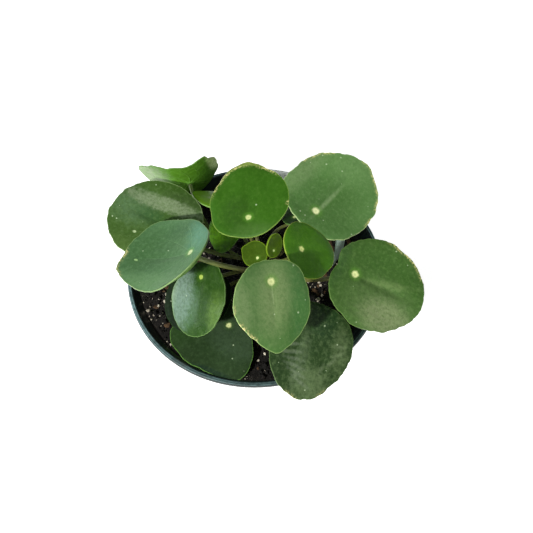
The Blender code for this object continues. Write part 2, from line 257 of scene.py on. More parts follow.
class LeafMarks(Effect):
    """The nerves that fan from the dot and arch to the tip, the net between them, and the dot.

    Plan is the point on the blade in millimetres from the dot, with its share of the way from
    the middle to the edge as the third number. Reach is the length from the dot to the tip.
    """

    name = "leaf marks"
    inputs = {"Plan": "Vector", "Reach": "Float", "Dot Radius": "Float", "Shift": "Vector"}
    nerve_angle = 0.72
    nerve_width = 0.55
    thinning = 0.38
    net_scale = 0.24

    @classmethod
    def wire(cls, graph: Graph, given: Wires) -> Wires:
        """Wires the marks.

        Args:
            graph: The group's graph.
            given: Its inputs.

        Returns:
            A mask of each kind of mark.
        """
        along, across, share = graph.parts(given["Plan"])
        flat = graph.node("CombineXYZ", (along, across))
        far = graph.vector("LENGTH", flat)["Value"]
        ratio = graph.math("MINIMUM", far / given["Reach"], 1.0)
        spacing = (1.0 - graph.math("POWER", ratio, 1.4) * 0.4) * cls.nerve_angle
        order = abs(graph.math("ARCTAN2", across, along)) / spacing
        off = graph.math("FRACT", order + 0.5) - 0.5
        aside = abs(off) * spacing * far
        line = 1.0 - aside / (cls.nerve_width - ratio * cls.thinning)
        place = graph.vector("ADD", flat, given["Shift"])
        net = graph.node("TexVoronoi", {"Vector": place, "Scale": cls.net_scale}, feature="DISTANCE_TO_EDGE")
        ragged = (graph.noise(place, 0.6, 2.0) - 0.5) * 1.3
        dot = (far + ragged) / given["Dot Radius"]
        return {"Nerves": graph.step(line, 0.0, 0.8) * graph.step(share, 0.55, 0.97, 1.0, 0.0),
                "Net": graph.step(net["Distance"], 0.0, 0.16, 1.0, 0.0),
                "Dot": graph.step(dot, 0.5, 1.15, 1.0, 0.0) * graph.step(dot, 0.15, 0.5, 0.78, 1.0),
                "Halo": graph.step(dot, 0.9, 2.3, 1.0, 0.0)}


class Specks(Effect):
    """Sparse small spots: Scale cells to a unit, of which the share Amount holds one."""

    name = "specks"
    inputs = {"Place": "Vector", "Scale": "Float", "Amount": "Float", "Radius": "Float"}

    @staticmethod
    def wire(graph: Graph, given: Wires) -> Wires:
        """Wires the specks.

        Args:
            graph: The group's graph.
            given: Its inputs.

        Returns:
            The mask of the specks.
        """
        cells = graph.node("TexVoronoi", {"Vector": given["Place"], "Scale": given["Scale"]},
                           voronoi_dimensions="2D")
        chance, spread, _ = graph.parts(cells["Color"])
        chosen = graph.math("LESS_THAN", chance, given["Amount"])
        size = given["Radius"] * (spread * 1.2 + 0.6)
        near = 1.0 - cells["Distance"] / size
        return {"Mask": chosen * graph.step(near, 0.0, 0.6)}


class Mottle(Effect):
    """An uneven tone from wide and narrow noise, centred on a half."""

    name = "mottle"
    inputs = {"Place": "Vector", "Scale": "Float", "Contrast": "Float"}

    @staticmethod
    def wire(graph: Graph, given: Wires) -> Wires:
        """Wires the tone.

        Args:
            graph: The group's graph.
            given: Its inputs.

        Returns:
            The tone, 0 to 1.
        """
        wide, narrow = ((graph.noise(given["Place"], given["Scale"] * times) - 0.5) * weight
                        for times, weight in ((1.0, 0.6), (4.3, 0.4)))
        return {"Tone": graph.node("Clamp", ((wide + narrow) * given["Contrast"] + 0.5,))}


class Patch(Effect):
    """A soft oval patch, of half-lengths Size about At, whose edge wanders by Ragged. It masks the blades'
    painted sheen and painted shadows.
    """

    name = "patch"
    inputs = {"Place": "Vector", "At": "Vector", "Turn": "Vector", "Size": "Vector", "Soft": "Float",
              "Ragged": "Float", "Share": "Float"}

    @staticmethod
    def wire(graph: Graph, given: Wires) -> Wires:
        """Wires the patch.

        Args:
            graph: The group's graph.
            given: Its inputs.

        Returns:
            The mask of the patch.
        """
        place = given["Place"]
        sides = (place, given["At"], given["Turn"], given["Size"])
        oval = graph.node("Mapping", sides, vector_type="TEXTURE")
        wander = graph.noise(place, 0.3, 5.0, 0.68) - 0.5
        edge = graph.vector("LENGTH", oval)["Value"] + wander * given["Ragged"]
        wisps = graph.step(graph.noise(place, 0.55, 4.0, 0.65), 0.34, 0.6, 0.55, 1.0)
        soft = given["Soft"]
        return {"Mask": wisps * graph.step(edge, 1.0 - soft, soft + 1.0, given["Share"], 0.0)}


class Paint:
    """A material on the bench: its graph, its one surface shader and the colour laid so far."""

    def __init__(self, name: str, base: Feed, roughness: float = 0.5, specular: float = 0.5) -> None:
        """Starts a material.

        Args:
            name: The material's name.
            base: Its first colour.
            roughness: How matt it is.
            specular: How strongly it mirrors, 0.5 for most things that grow or are moulded.
        """
        self.material = bpy.data.materials.new(name)
        self.material.use_nodes = True
        self.graph = Graph(self.material.node_tree)
        self.shader = self.material.node_tree.nodes["Principled BSDF"]
        self.colour = base
        self.set("Roughness", roughness)
        self.set("Specular IOR Level", specular)

    @cached_property
    def place(self) -> Wire:
        """Returns the point on the piece, in metres."""
        return self.graph.node("TexCoord")["Object"]

    def set(self, socket: str, value: Feed) -> None:
        """Feeds one of the shader's inputs."""
        self.graph.feed(self.shader.inputs[socket], value)

    def attribute(self, name: str, output: str = "Fac") -> Wire:
        """Returns a value that the piece's mesh carries."""
        return self.graph.node("Attribute", attribute_name=name)[output]

    def tone(self, scale: float, contrast: float) -> Wire:
        """Returns an uneven tone over the piece, of `scale` waves to a metre."""
        return self.graph.use(Mottle, Place=self.place, Scale=scale, Contrast=contrast)

    def coat(self, share: Feed, colour: Feed) -> None:
        """Lays a colour over the colour so far where `share` says."""
        self.colour = self.graph.mix(share, self.colour, colour)

    def bump(self, height: Feed, depth: float, strength: float = 1.0) -> None:
        """Adds relief too fine for the mesh. `depth` is in metres."""
        relief = self.graph.node("Bump", {"Strength": strength, "Distance": depth, "Height": height})
        self.set("Normal", relief)

    def done(self) -> Material:
        """Gives the shader the colour and returns the material."""
        self.set("Base Color", self.colour)
        return self.material


class Bench:
    """The modelling steps that every sub-assembly uses, each done with Blender's operators."""

    @staticmethod
    def take(*pieces: Piece) -> None:
        """Leaves nothing selected but some pieces.

        Args:
            pieces: The pieces, the first of which becomes active.
        """
        bpy.ops.object.select_all(action="DESELECT")
        for piece in pieces:
            piece.select_set(True)
        if pieces:
            bpy.context.view_layer.objects.active = pieces[0]

    @staticmethod
    def named(name: str) -> Piece:
        """Names the piece that an operator has just added, and returns it."""
        bpy.context.object.name = bpy.context.object.data.name = name
        return bpy.context.object

    @classmethod
    @contextmanager
    def editing(cls, piece: Piece, mode: str = "EDGE") -> Iterator[None]:
        """Opens a piece's mesh in Edit Mode with all of it selected, and closes it again.

        Args:
            piece: The piece.
            mode: What a selection is made of, "VERT" or "EDGE".

        Returns:
            The context in which it is open.
        """
        cls.take(piece)
        bpy.ops.object.mode_set(mode="EDIT")
        bpy.ops.mesh.select_mode(type=mode)
        bpy.ops.mesh.select_all(action="SELECT")
        yield
        bpy.ops.object.mode_set(mode="OBJECT")

    @staticmethod
    def face_out() -> None:
        """Turns the faces of the open mesh outwards."""
        bpy.ops.mesh.select_all(action="SELECT")
        bpy.ops.mesh.normals_make_consistent(inside=False)

    @classmethod
    def lathe(cls, name: str, profile: Sequence[tuple[float, float]], sides: int) -> Piece:
        """Raises a round piece ring by ring from a circle.

        Args:
            name: The piece's name.
            profile: The radius and height of each ring. No radius is 0.
            sides: The corners of each ring.

        Returns:
            The piece, with its ends drawn together to a point on the axis.
        """
        cls.take()
        radius, height = profile[0]
        bpy.ops.mesh.primitive_circle_add(vertices=sides, radius=radius, location=(0, 0, height))
        piece = cls.named(name)
        bpy.ops.object.transform_apply(location=True, rotation=True, scale=True)
        with cls.editing(piece, "VERT"):
            cls._close_ring()
            for wider, higher in profile[1:]:
                bpy.ops.mesh.extrude_edges_move(TRANSFORM_OT_translate={"value": (0, 0, higher - height)})
                scale = wider / radius
                bpy.ops.transform.resize(value=(scale, scale, 1), center_override=(0, 0, higher))
                radius, height = wider, higher
            cls._close_ring()
            cls.face_out()
        return piece

    @staticmethod
    def _close_ring() -> None:
        """Fills the selected ring with a fan and leaves the ring itself selected."""
        bpy.ops.mesh.extrude_edges_move(TRANSFORM_OT_translate={"value": (0, 0, 0)})
        bpy.ops.mesh.merge(type="CENTER")
        bpy.ops.mesh.select_more()
        shape = bmesh.from_edit_mesh(bpy.context.object.data)
        for vertex in shape.verts:
            if vertex.select and math.hypot(vertex.co.x, vertex.co.y) < 0.001 * MM:
                vertex.select = False
        shape.select_flush_mode()
        for edge in shape.edges:
            edge.select = all(vertex.select for vertex in edge.verts)
        bmesh.update_edit_mesh(bpy.context.object.data)

    @classmethod
    def disc(cls, name: str, sides: int, shares: Sequence[float]) -> Piece:
        """Makes a flat disc of rings, 1 in radius, which a blade or the soil is shaped from.

        Args:
            name: The piece's name.
            sides: The corners of each ring.
            shares: The radius of each ring from the inside outwards, the last one 1.

        Returns:
            The disc, facing up.
        """
        cls.take()
        bpy.ops.mesh.primitive_circle_add(vertices=sides, radius=1.0)
        piece = cls.named(name)
        with cls.editing(piece):
            radius = 1.0
            for share in reversed(shares[:-1]):
                bpy.ops.mesh.extrude_edges_move(TRANSFORM_OT_translate={"value": (0, 0, 0)})
                scale = share / radius
                bpy.ops.transform.resize(value=(scale, scale, 1), center_override=(0, 0, 0))
                radius = share
            bpy.ops.mesh.extrude_edges_move(TRANSFORM_OT_translate={"value": (0, 0, 0)})
            bpy.ops.mesh.merge(type="CENTER")
            cls.face_out()
        if piece.data.polygons[0].normal.z < 0:
            piece.data.flip_normals()
        return piece

    @classmethod
    def finish(cls, piece: Piece, smooth_below: Optional[float] = None) -> None:
        """Applies every modifier of a piece and shades it smooth.

        Args:
            piece: The piece.
            smooth_below: The angle in degrees above which its edges stay sharp.
        """
        cls.take(piece)
        for modifier in list(piece.modifiers):
            bpy.ops.object.modifier_apply(modifier=modifier.name)
        if smooth_below is None:
            bpy.ops.object.shade_smooth()
        else:
            bpy.ops.object.shade_smooth_by_angle(angle=math.radians(smooth_below))

    @staticmethod
    def discard(*pieces: Piece) -> None:
        """Throws pattern pieces away."""
        for piece in pieces:
            bpy.data.objects.remove(piece)

    @classmethod
    def stalk(cls, name: str, controls: Sequence[Vector], profile: Callable[[float], float], cuts: int,
              sides: int) -> Piece:
        """Bends a tapering round tube along one curve.

        Args:
            name: The piece's name.
            controls: The curve's first point, its handle, the last point's handle and the last point.
            profile: The radius at each share of the length.
            cuts: The points added between the ends.
            sides: The corners of the tube, a multiple of 4.

        Returns:
            The tube as a mesh with capped ends.
        """
        first, leaving, arriving, last = controls
        cls.take()
        bpy.ops.curve.primitive_bezier_curve_add()
        piece = cls.named(name)
        ends = ((first, first * 2 - leaving, leaving), (last, arriving, last * 2 - arriving))
        for point, (at, before, after) in zip(piece.data.splines[0].bezier_points, ends):
            point.handle_left_type = point.handle_right_type = "FREE"
            point.co = at
            point.handle_left = before
            point.handle_right = after
        bpy.ops.object.mode_set(mode="EDIT")
        bpy.ops.curve.select_all(action="SELECT")
        bpy.ops.curve.subdivide(number_cuts=cuts)
        bpy.ops.object.mode_set(mode="OBJECT")
        points = piece.data.splines[0].bezier_points
        for step, point in enumerate(points):
            point.radius = profile(step / (len(points) - 1))
        piece.data.bevel_depth = 1.0
        piece.data.bevel_resolution = sides // 2 - 2
        piece.data.resolution_u = 3
        piece.data.use_fill_caps = True
        bpy.ops.object.convert(target="MESH")
        with cls.editing(piece):
            bpy.ops.mesh.remove_doubles(threshold=0.005 * MM)
            cls.face_out()
        return piece


def carry(piece: Piece, slot: str, *nodes: str) -> None:
    """Hands a finished piece to the frame.

    Args:
        piece: The piece, in its place.
        slot: The record's material slot, which is not used.
        nodes: The CAD nodes that it stands for.
    """
    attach(piece, BODY)
    if nodes:
        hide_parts(*nodes)
    log.info("%s: %d faces%s", piece.name, len(piece.data.polygons),
             ", for " + ", ".join(nodes) if nodes else "")


@dataclass(frozen=True)
class PotShape:
    """The sizes of the pot, as in the CAD."""

    height: float = 80 * MM
    rim_radius: float = 77.5 * MM
    rim_width: float = 3.0 * MM
    lip_depth: float = 3.2 * MM
    lip_round: float = 0.9 * MM
    wall_top_radius: float = 74.6 * MM
    base_radius: float = 47 * MM
    wall: float = 1.4 * MM
    foot_width: float = 4 * MM
    boss_radius: float = 13 * MM
    recess: float = 2.2 * MM
    drain_holes: int = 6
    drain_radius: float = 3.5 * MM
    drain_circle: float = 28 * MM
    gap: float = 0.3 * MM

    def outer(self, height: float) -> float:
        """Returns the outer wall's radius at a height."""
        share = height / (self.height - self.lip_depth)
        return self.base_radius + (self.wall_top_radius - self.base_radius) * share

    def inner(self, height: float) -> float:
        """Returns the inner wall's radius at a height."""
        return self.outer(height) - self.wall


POT = PotShape()


@dataclass(frozen=True)
class PotFinish:
    """Dark teal-grey moulded plastic, dusty at the rim under two painted highlight lines, and smeared with
    soil inside.
    """

    plastic: Colour = screen(14, 25, 25)
    scuffed: Colour = screen(40, 56, 56)
    # Dust on the rim's top, laid brighter along two thin rings as painted highlight lines of the lip.
    rim_dust_and_highlight: Colour = screen(116, 146, 148)
    soil_film: Colour = screen(40, 35, 30)
    lime: Colour = screen(150, 156, 148)
    # Painted highlight: the near-white band high on the rear inner wall stands in for glare on the plastic.
    rear_glare: Colour = screen(242, 246, 238)
    highlight_rings: tuple[float, float] = (0.6 * MM, 1.6 * MM)
    lip_depth: float = 2.3 * MM
    soil_depth: float = 12 * MM
    glare_at: float = math.radians(80)
    glare_half_width: float = math.radians(11)
    glare_depth: float = 5 * MM

    def dress(self) -> Material:
        """Makes the material: scuffs, rim dust with painted highlight lines, soil on the inner wall, lime
        marks and a painted glare at the rear.

        Returns:
            The material.
        """
        paint = Paint("pot plastic", self.plastic, specular=0.25)
        graph = paint.graph
        place = paint.place
        across, deep, height = graph.parts(place)
        span = graph.math("SQRT", across * across + deep * deep)
        tone = paint.tone(42.0, 1.6)
        paint.coat(tone * 0.32, self.scuffed)
        rings = graph.noise(graph.shifted(place, (3, 3, 900)), 1.0, 1.0)
        paint.coat(graph.step(rings, 0.56, 0.72) * 0.22, self.scuffed)
        top = graph.step(height, POT.height - 0.7 * MM, POT.height - 0.15 * MM)
        worn = graph.step(graph.noise(place, 260.0, 3.0, 0.6), 0.36, 0.66, 0.35, 0.9)
        # Painted highlight: two thin pale rings along the rounded lip carry most of the rim dust, fainter at
        # the front.
        highlight_rings = [graph.step(abs(span - (POT.rim_radius - inwards)), 0.2 * MM, 0.5 * MM, 1.0, 0.0)
                  for inwards in self.highlight_rings]
        highlight_ringed = (highlight_rings[0] + highlight_rings[1]) * 0.75 + 0.25
        lip = POT.rim_radius - self.lip_depth
        fainter_at_front = graph.step(deep, -70 * MM, -30 * MM, 0.45, 1.0)
        paint.coat(top * worn * highlight_ringed * graph.step(span, lip, lip + 0.4 * MM) * fainter_at_front, self.rim_dust_and_highlight)
        slope = (POT.wall_top_radius - POT.base_radius) / (POT.height - POT.lip_depth)
        inside = graph.math("LESS_THAN", span, height * slope + (POT.base_radius - POT.wall / 2))
        low = graph.step(height + tone * (7 * MM), POT.height - self.soil_depth, POT.height - MM, 1.0, 0.0)
        smear = graph.step(graph.noise(place, 190.0, 4.0, 0.65), 0.42, 0.62)
        soiled = inside * low * (smear * 0.5 + 0.35)
        paint.coat(soiled, self.soil_film)
        drips = graph.noise(graph.shifted(place, (60, 60, 9), (3, 1, 0)), 1.0, 3.0, 0.6)
        paint.coat(graph.step(drips, 0.58, 0.8) * graph.step(height, 0.0, 0.03, 0.4, 0.12), self.lime)
        # Painted highlight: a near-white band high on the rear inner wall, standing in for glare on the
        # plastic.
        aside = abs(graph.math("ARCTAN2", deep, across) - self.glare_at)
        glared = graph.step(aside, 0.6 * self.glare_half_width, 1.2 * self.glare_half_width, 0.95, 0.0)
        glared *= graph.step(height, POT.height - self.glare_depth, POT.height - self.glare_depth + MM)
        glared *= graph.step(span, POT.rim_radius - 0.9 * MM, POT.rim_radius - 0.5 * MM, 1.0, 0.0)
        paint.coat(glared, self.rear_glare)
        paint.set("Roughness", graph.step(tone + soiled * 0.8, 0.2, 1.2, 0.34, 0.8))
        paint.bump(graph.noise(place, 1500.0, 2.0, 0.6), 0.05 * MM, 0.5)
        return paint.done()


@dataclass
class Pot:
    """The nursery pot: a finer turning of the CAD's pot, with a rolled lip and a beaded shoulder."""

    sides: int = 160
    roundings: int = 5
    foot_inset: float = 0.12 * MM
    wall_rings: int = 12
    step_under_lip: float = 0.6 * MM
    step_out: float = 0.5 * MM
    bead_under_lip: float = 7.5 * MM
    bead_height: float = 1.6 * MM
    bead_out: float = 0.35 * MM

    def profile(self) -> list[tuple[float, float]]:
        """Draws the outline from the boss under the base, up the outside and down to the floor inside.

        Returns:
            The radius and height of each of its points.
        """
        lip_foot = POT.height - POT.lip_depth
        foot_inside = POT.base_radius - POT.foot_width
        floor = POT.recess + POT.wall
        mouth = POT.rim_radius - POT.rim_width
        throat = POT.height - 3 * POT.lip_round
        points = [(POT.boss_radius, 0.0), (POT.boss_radius + POT.recess, POT.recess),
                  (foot_inside - POT.recess, POT.recess), (foot_inside, 0.0),
                  (POT.base_radius - POT.lip_round, 0.0)]
        points += [(POT.outer(h) - self.foot_inset, h) for h in (0.35 * MM, 0.9 * MM)]
        bead = lip_foot - self.bead_under_lip
        walls = [2 + ring * (bead - 4 * MM) / (self.wall_rings * MM) for ring in range(1, self.wall_rings)]
        points += [(POT.outer(height * MM), height * MM) for height in walls]
        points += self._bead(bead)
        step = lip_foot - self.step_under_lip
        points += [(POT.outer(step), step), (POT.outer(lip_foot) + self.step_out, lip_foot)]
        points += self._corner(lip_foot, -1) + self._corner(POT.height, 0)
        turns = [TURN / 4 * step / self.roundings for step in range(self.roundings + 1)]
        points += [(mouth + POT.lip_round * (1 - math.sin(turn)),
                    POT.height - POT.lip_round * (1 - math.cos(turn))) for turn in turns]
        levels = [throat] + [POT.height - drop * MM for drop in (6, 12, 18, 30, 45, 60)] + [floor]
        points += [(POT.inner(level), level) for level in levels]
        return points + [(POT.boss_radius, floor)]

    def _bead(self, foot: float) -> list[tuple[float, float]]:
        """Draws the shallow bead that pots stack on.

        Args:
            foot: The height of its lower edge.

        Returns:
            The radius and height of each of its points.
        """
        rows = [(share, foot + self.bead_height * share) for share in (0.0, 0.25, 0.5, 0.75, 1.0)]
        return [(POT.outer(height) + self.bead_out * math.sin(math.pi * share), height)
                for share, height in rows]

    def _corner(self, height: float, start: int) -> list[tuple[float, float]]:
        """Draws a rounded outer corner of the lip.

        Args:
            height: The corner's height.
            start: The quarter turn that it starts at, -1 for the lower corner and 0 for the upper one.

        Returns:
            The radius and height of each of its points.
        """
        bend = POT.lip_round
        middle = height + bend if start < 0 else height - bend
        turns = [TURN / 4 * (start + step / self.roundings) for step in range(self.roundings + 1)]
        return [(POT.rim_radius - bend + bend * math.cos(turn), middle + bend * math.sin(turn))
                for turn in turns]

    def build(self) -> None:
        """Turns the pot, drills its drain holes and dresses it."""
        pot = Bench.lathe("nursery_pot", self.profile(), self.sides)
        drills = []
        for hole in range(POT.drain_holes):
            angle = TURN * (hole + 0.5) / POT.drain_holes
            spot = (POT.drain_circle * math.cos(angle), POT.drain_circle * math.sin(angle), POT.recess)
            Bench.take()
            bpy.ops.mesh.primitive_cylinder_add(vertices=28, radius=POT.drain_radius, depth=8 * POT.wall,
                                                location=spot)
            drills.append(Bench.named(f"drill_{hole}"))
        Bench.take(*drills)
        bpy.ops.object.join()
        drill = Bench.named("drill")
        cut = pot.modifiers.new("drain holes", "BOOLEAN")
        cut.operation = "DIFFERENCE"
        cut.solver = "EXACT"
        cut.object = drill
        Bench.finish(pot, smooth_below=35)
        Bench.discard(drill)
        pot.data.materials.append(PotFinish().dress())
        carry(pot, "pot_plastic", "pot")


@dataclass(frozen=True)
class SoilFinish:
    """Moist potting mix: dark peat with lighter fibres."""

    peat: Colour = screen(5, 5, 5)
    dry: Colour = screen(30, 27, 24)
    fibre: Colour = screen(104, 92, 76)
    dust: Colour = screen(150, 146, 134)

    def dress(self, name: str) -> Material:
        """Makes the material for the ground or its crumbs.

        Args:
            name: The material's name.

        Returns:
            The material.
        """
        paint = Paint(name, self.peat, roughness=0.9, specular=0.25)
        graph = paint.graph
        paint.coat(paint.tone(160.0, 2.4) * 0.75, self.dry)
        fibres = graph.noise(graph.shifted(paint.place, (1, 5, 1)), 420.0, 3.0, 0.7)
        paint.coat(graph.step(fibres, 0.62, 0.74) * 0.5, self.fibre)
        grit = graph.step(graph.noise(paint.place, 1300.0, 3.0, 0.75), 0.6, 0.68)
        clouds = graph.step(graph.noise(paint.place, 60.0, 2.0), 0.42, 0.62)
        paint.coat(grit * (clouds * 0.7), self.dust)
        paint.bump(graph.noise(paint.place, 900.0, 4.0, 0.7), 0.5 * MM)
        return paint.done()


@dataclass(frozen=True)
class GrainFinish:
    """Perlite or bark: a colour with darker hollows."""

    light: Colour
    dark: Colour

    def dress(self, name: str) -> Material:
        """Makes the material.

        Args:
            name: Its name.

        Returns:
            The material.
        """
        paint = Paint(name, self.dark, roughness=0.8, specular=0.3)
        paint.coat(paint.tone(330.0, 2.6), self.light)
        paint.bump(paint.graph.noise(paint.place, 1600.0, 3.0, 0.7), 0.3 * MM)
        return paint.done()


@dataclass(frozen=True)
class Grain:
    """One kind of loose grain on the soil. Lengths are in millimetres.

    Attributes:
        name: The piece's name.
        lots: For each lot, how many there are, and the least and the greatest half-length.
        flat: The least and the greatest height, as a share of the length.
        usual: The half-length of most of them, if they have one.
        shown: The place and half-length of those that the photograph shows in the open.
        shown_flat: The height of those, as a share of the length.
        sharp: The angle between two faces above which an edge is sharp, in degrees.
        lying: Whether they lie level, give or take.
    """

    name: str
    lots: tuple[tuple[int, float, float], ...]
    flat: tuple[float, float]
    usual: Optional[float] = None
    shown: tuple[tuple[float, float, float], ...] = ()
    shown_flat: float = 1.0
    sharp: float = 45
    lying: bool = False


CRUMBS = Grain("soil_crumbs", lots=((520, 1.0, 2.1), (4200, 0.35, 0.9)), flat=(0.5, 0.9))
PERLITE = Grain(
    "perlite_grains", lots=((200, 0.3, 1.5),), flat=(0.6, 0.9), usual=0.45, shown_flat=0.8,
    shown=((-58, -23, 0.8), (-69, -22, 0.5), (-61, -27, 0.6), (-59, -31, 0.75), (-63, -32, 0.7),
           (-55, -33, 0.7), (-56, -35, 0.6), (-67, -27, 0.45), (-58, -19, 0.8), (-54, -16, 1.9),
           (-62, -19, 0.4), (-63, -24, 0.5), (-64, -30, 0.6), (-50, -46, 0.7), (-52, -44, 0.5),
           (-57, -29, 0.5), (-54.5, -20, 1.4), (0.5, -50, 0.6), (6, -62, 0.45), (-3, -65, 0.5),
           (40.5, -5, 1.0), (37, -6.5, 0.6), (35.5, -4.5, 0.5), (34, -6.5, 0.6), (38.5, -15.5, 1.6),
           (41.5, -15.5, 0.6)))
BARK = Grain(
    "bark_chips", lots=((70, 0.96, 2.4),), flat=(0.22, 0.4), shown_flat=0.35, sharp=28, lying=True,
    shown=((48, 27, 2.2), (50, 20, 2.4), (49, 24, 2.0), (63, 29, 2.2), (65, 28, 1.8), (36.5, -9, 1.9),
           (38.5, -11, 1.5), (-55, -10, 2.0), (-56, -13, 1.6), (42.5, -10, 1.6), (46, 9, 2.0)))


@dataclass
class Soil:
    """The potting mix: its ground, as in the CAD, with crumbs, perlite and bark lying on it."""

    under_rim: float = 15.5 * MM
    mound_at: Vector = Vector((-66 * MM, -14 * MM, 0))
    mound_rise: float = 8.5 * MM
    mound_spread: float = 16 * MM
    lump_height: float = 1.0 * MM
    lump_size: float = 9 * MM
    fine_height: float = 0.7 * MM
    fine_size: float = 3.2 * MM
    coarse_from: float = 0.95 * MM
    tilt: float = 0.35
    sides: int = 120
    rings: int = 40
    seed: int = 11

    def level(self, x: float, y: float) -> float:
        """Finds the height of the ground, without its fine grain.

        Args:
            x: The place's distance to the right of the pot's axis.
            y: Its distance behind the axis.

        Returns:
            The height.
        """
        away = (Vector((x, y, 0)) - self.mound_at).length_squared
        mound = self.mound_rise * math.exp(-away / (2 * self.mound_spread ** 2))
        lumps = self.lump_height * noise.noise(Vector((x / self.lump_size, y / self.lump_size, 0)))
        return POT.height - self.under_rim + mound + lumps

    def edge(self, angle: float) -> Vector:
        """Finds the point where the ground meets the pot's wall.

        Args:
            angle: Its direction from the pot's axis.

        Returns:
            The point.
        """
        radius = POT.inner(POT.height - self.under_rim) - POT.gap
        for _ in range(4):
            height = self.level(radius * math.cos(angle), radius * math.sin(angle))
            radius = POT.inner(height) - POT.gap
        return Vector((radius * math.cos(angle), radius * math.sin(angle), height))

    def build(self) -> None:
        """Makes the ground and everything that lies on it."""
        peat = SoilFinish()
        ground = self._ground()
        ground.data.materials.append(peat.dress("peat ground"))
        carry(ground, "potting_soil", "soil")
        perlite = GrainFinish(screen(206, 200, 182), screen(128, 120, 104))
        bark = GrainFinish(screen(96, 72, 46), screen(34, 25, 19))
        draw = random.Random(self.seed)
        for grain, finish in ((CRUMBS, peat.dress("peat crumbs")), (PERLITE, perlite.dress("perlite")),
                              (BARK, bark.dress("bark chips"))):
            grains = self._strew(grain, draw)
            grains.data.materials.append(finish)
            carry(grains, "potting_soil")

    def _ground(self) -> Piece:
        """Shapes the ground from a disc, with its skirt down the wall to the pot's floor.

        Returns:
            The ground.
        """
        shares = [(ring + 1) / self.rings for ring in range(self.rings)]
        ground = Bench.disc("soil_ground", self.sides, shares)
        for vertex in ground.data.vertices:
            share = math.hypot(vertex.co.x, vertex.co.y)
            edge = self.edge(math.atan2(vertex.co.y, vertex.co.x))
            x, y = edge.x * share, edge.y * share
            fine = self.fine_height * noise.fractal(Vector((x, y, 0)) / self.fine_size, 0.6, 2.1, 3)
            vertex.co = Vector((x, y, self.level(x, y) + fine * ease(1 - share, 0, 0.04)))
        floor = POT.recess + POT.wall + POT.gap
        foot = POT.inner(floor) - POT.gap
        with Bench.editing(ground):
            bpy.ops.mesh.select_all(action="DESELECT")
            bpy.ops.mesh.select_non_manifold()
            bpy.ops.mesh.extrude_edges_move(TRANSFORM_OT_translate={"value": (0, 0, -POT.height)})
            bpy.ops.transform.resize(value=(1, 1, 0), center_override=(0, 0, floor))
            bpy.ops.mesh.edge_face_add()
        for vertex in ground.data.vertices:
            if abs(vertex.co.z - floor) < 0.01 * MM:
                out = Vector((vertex.co.x, vertex.co.y, 0)).normalized()
                vertex.co = out * foot + Vector((0, 0, floor))
        with Bench.editing(ground):
            Bench.face_out()
        Bench.finish(ground, smooth_below=50)
        return ground

    def _strew(self, grain: Grain, draw: random.Random) -> Piece:
        """Lays one kind of grain on the ground, as one piece.

        Args:
            grain: The kind.
            draw: The seeded source of their places and sizes.

        Returns:
            The grains, joined.
        """
        coarse, fine = self._pattern(2, draw), self._pattern(1, draw)
        points: list[Vector] = []
        faces: list[tuple[int, ...]] = []
        for x, y, size, flat in self._places(grain, draw):
            corners, sides = coarse if size > self.coarse_from else fine
            turn = Euler([draw.uniform(0, TURN) for _ in range(3)]).to_matrix()
            stretch = Vector((1.0, draw.uniform(0.6, 1.0), flat))
            if grain.lying:
                tilts = [draw.uniform(-self.tilt, self.tilt) for _ in range(2)]
                turn = Euler((*tilts, draw.uniform(0, TURN))).to_matrix()
            middle = Vector((x, y, self.level(x, y) + size * 0.3 * min(flat * 1.6, 1.0)))
            start = len(points)
            points += [middle + turn @ (corner * stretch * size) for corner in corners]
            faces += [tuple(start + corner for corner in side) for side in sides]
        mesh = bpy.data.meshes.new(grain.name)
        mesh.from_pydata(points, [], faces)
        piece = bpy.data.objects.new(grain.name, mesh)
        bpy.context.scene.collection.objects.link(piece)
        Bench.finish(piece, smooth_below=grain.sharp)
        return piece

    @staticmethod
    def _pattern(detail: int, draw: random.Random) -> tuple[list[Vector], list[tuple[int, ...]]]:
        """Models one rugged grain of radius 1.

        Args:
            detail: How finely it is divided, from 1.
            draw: The seeded source of its shape.

        Returns:
            Its corners and its faces.
        """
        Bench.take()
        bpy.ops.mesh.primitive_ico_sphere_add(subdivisions=detail, radius=1.0)
        lump = Bench.named("grain_pattern")
        at = Vector([draw.uniform(0, 9) for _ in range(3)])
        corners = [v.co * (1 + 0.55 * noise.noise(v.co * 1.3 + at)) for v in lump.data.vertices]
        sides = [tuple(face.vertices) for face in lump.data.polygons]
        Bench.discard(lump)
        return corners, sides

    def _places(self, grain: Grain, draw: random.Random) -> list[tuple[float, float, float, float]]:
        """Places every grain of a kind, evenly spread and clear of the wall.

        Args:
            grain: The kind.
            draw: The seeded source of their places and sizes.

        Returns:
            The x, y, half-length and flatness of each grain, those of the photograph first.
        """
        rows = []
        for x, y, half in grain.shown:
            place = Vector((x * MM, y * MM))
            reach = Vector(self.edge(math.atan2(y, x))[:2]).length - 1.3 * half * MM
            rows.append((*(place * min(1.0, reach / place.length)), half * MM, grain.shown_flat))
        for least, most in [(low, high) for count, low, high in grain.lots for _ in range(count)]:
            half = draw.triangular(least, most, grain.usual) if grain.usual else draw.uniform(least, most)
            angle = draw.uniform(0, TURN)
            away = (Vector(self.edge(angle)[:2]).length - half * MM) * math.sqrt(draw.random())
            x, y = away * math.cos(angle), away * math.sin(angle)
            rows.append((x, y, half * MM, draw.uniform(*grain.flat)))
        return rows


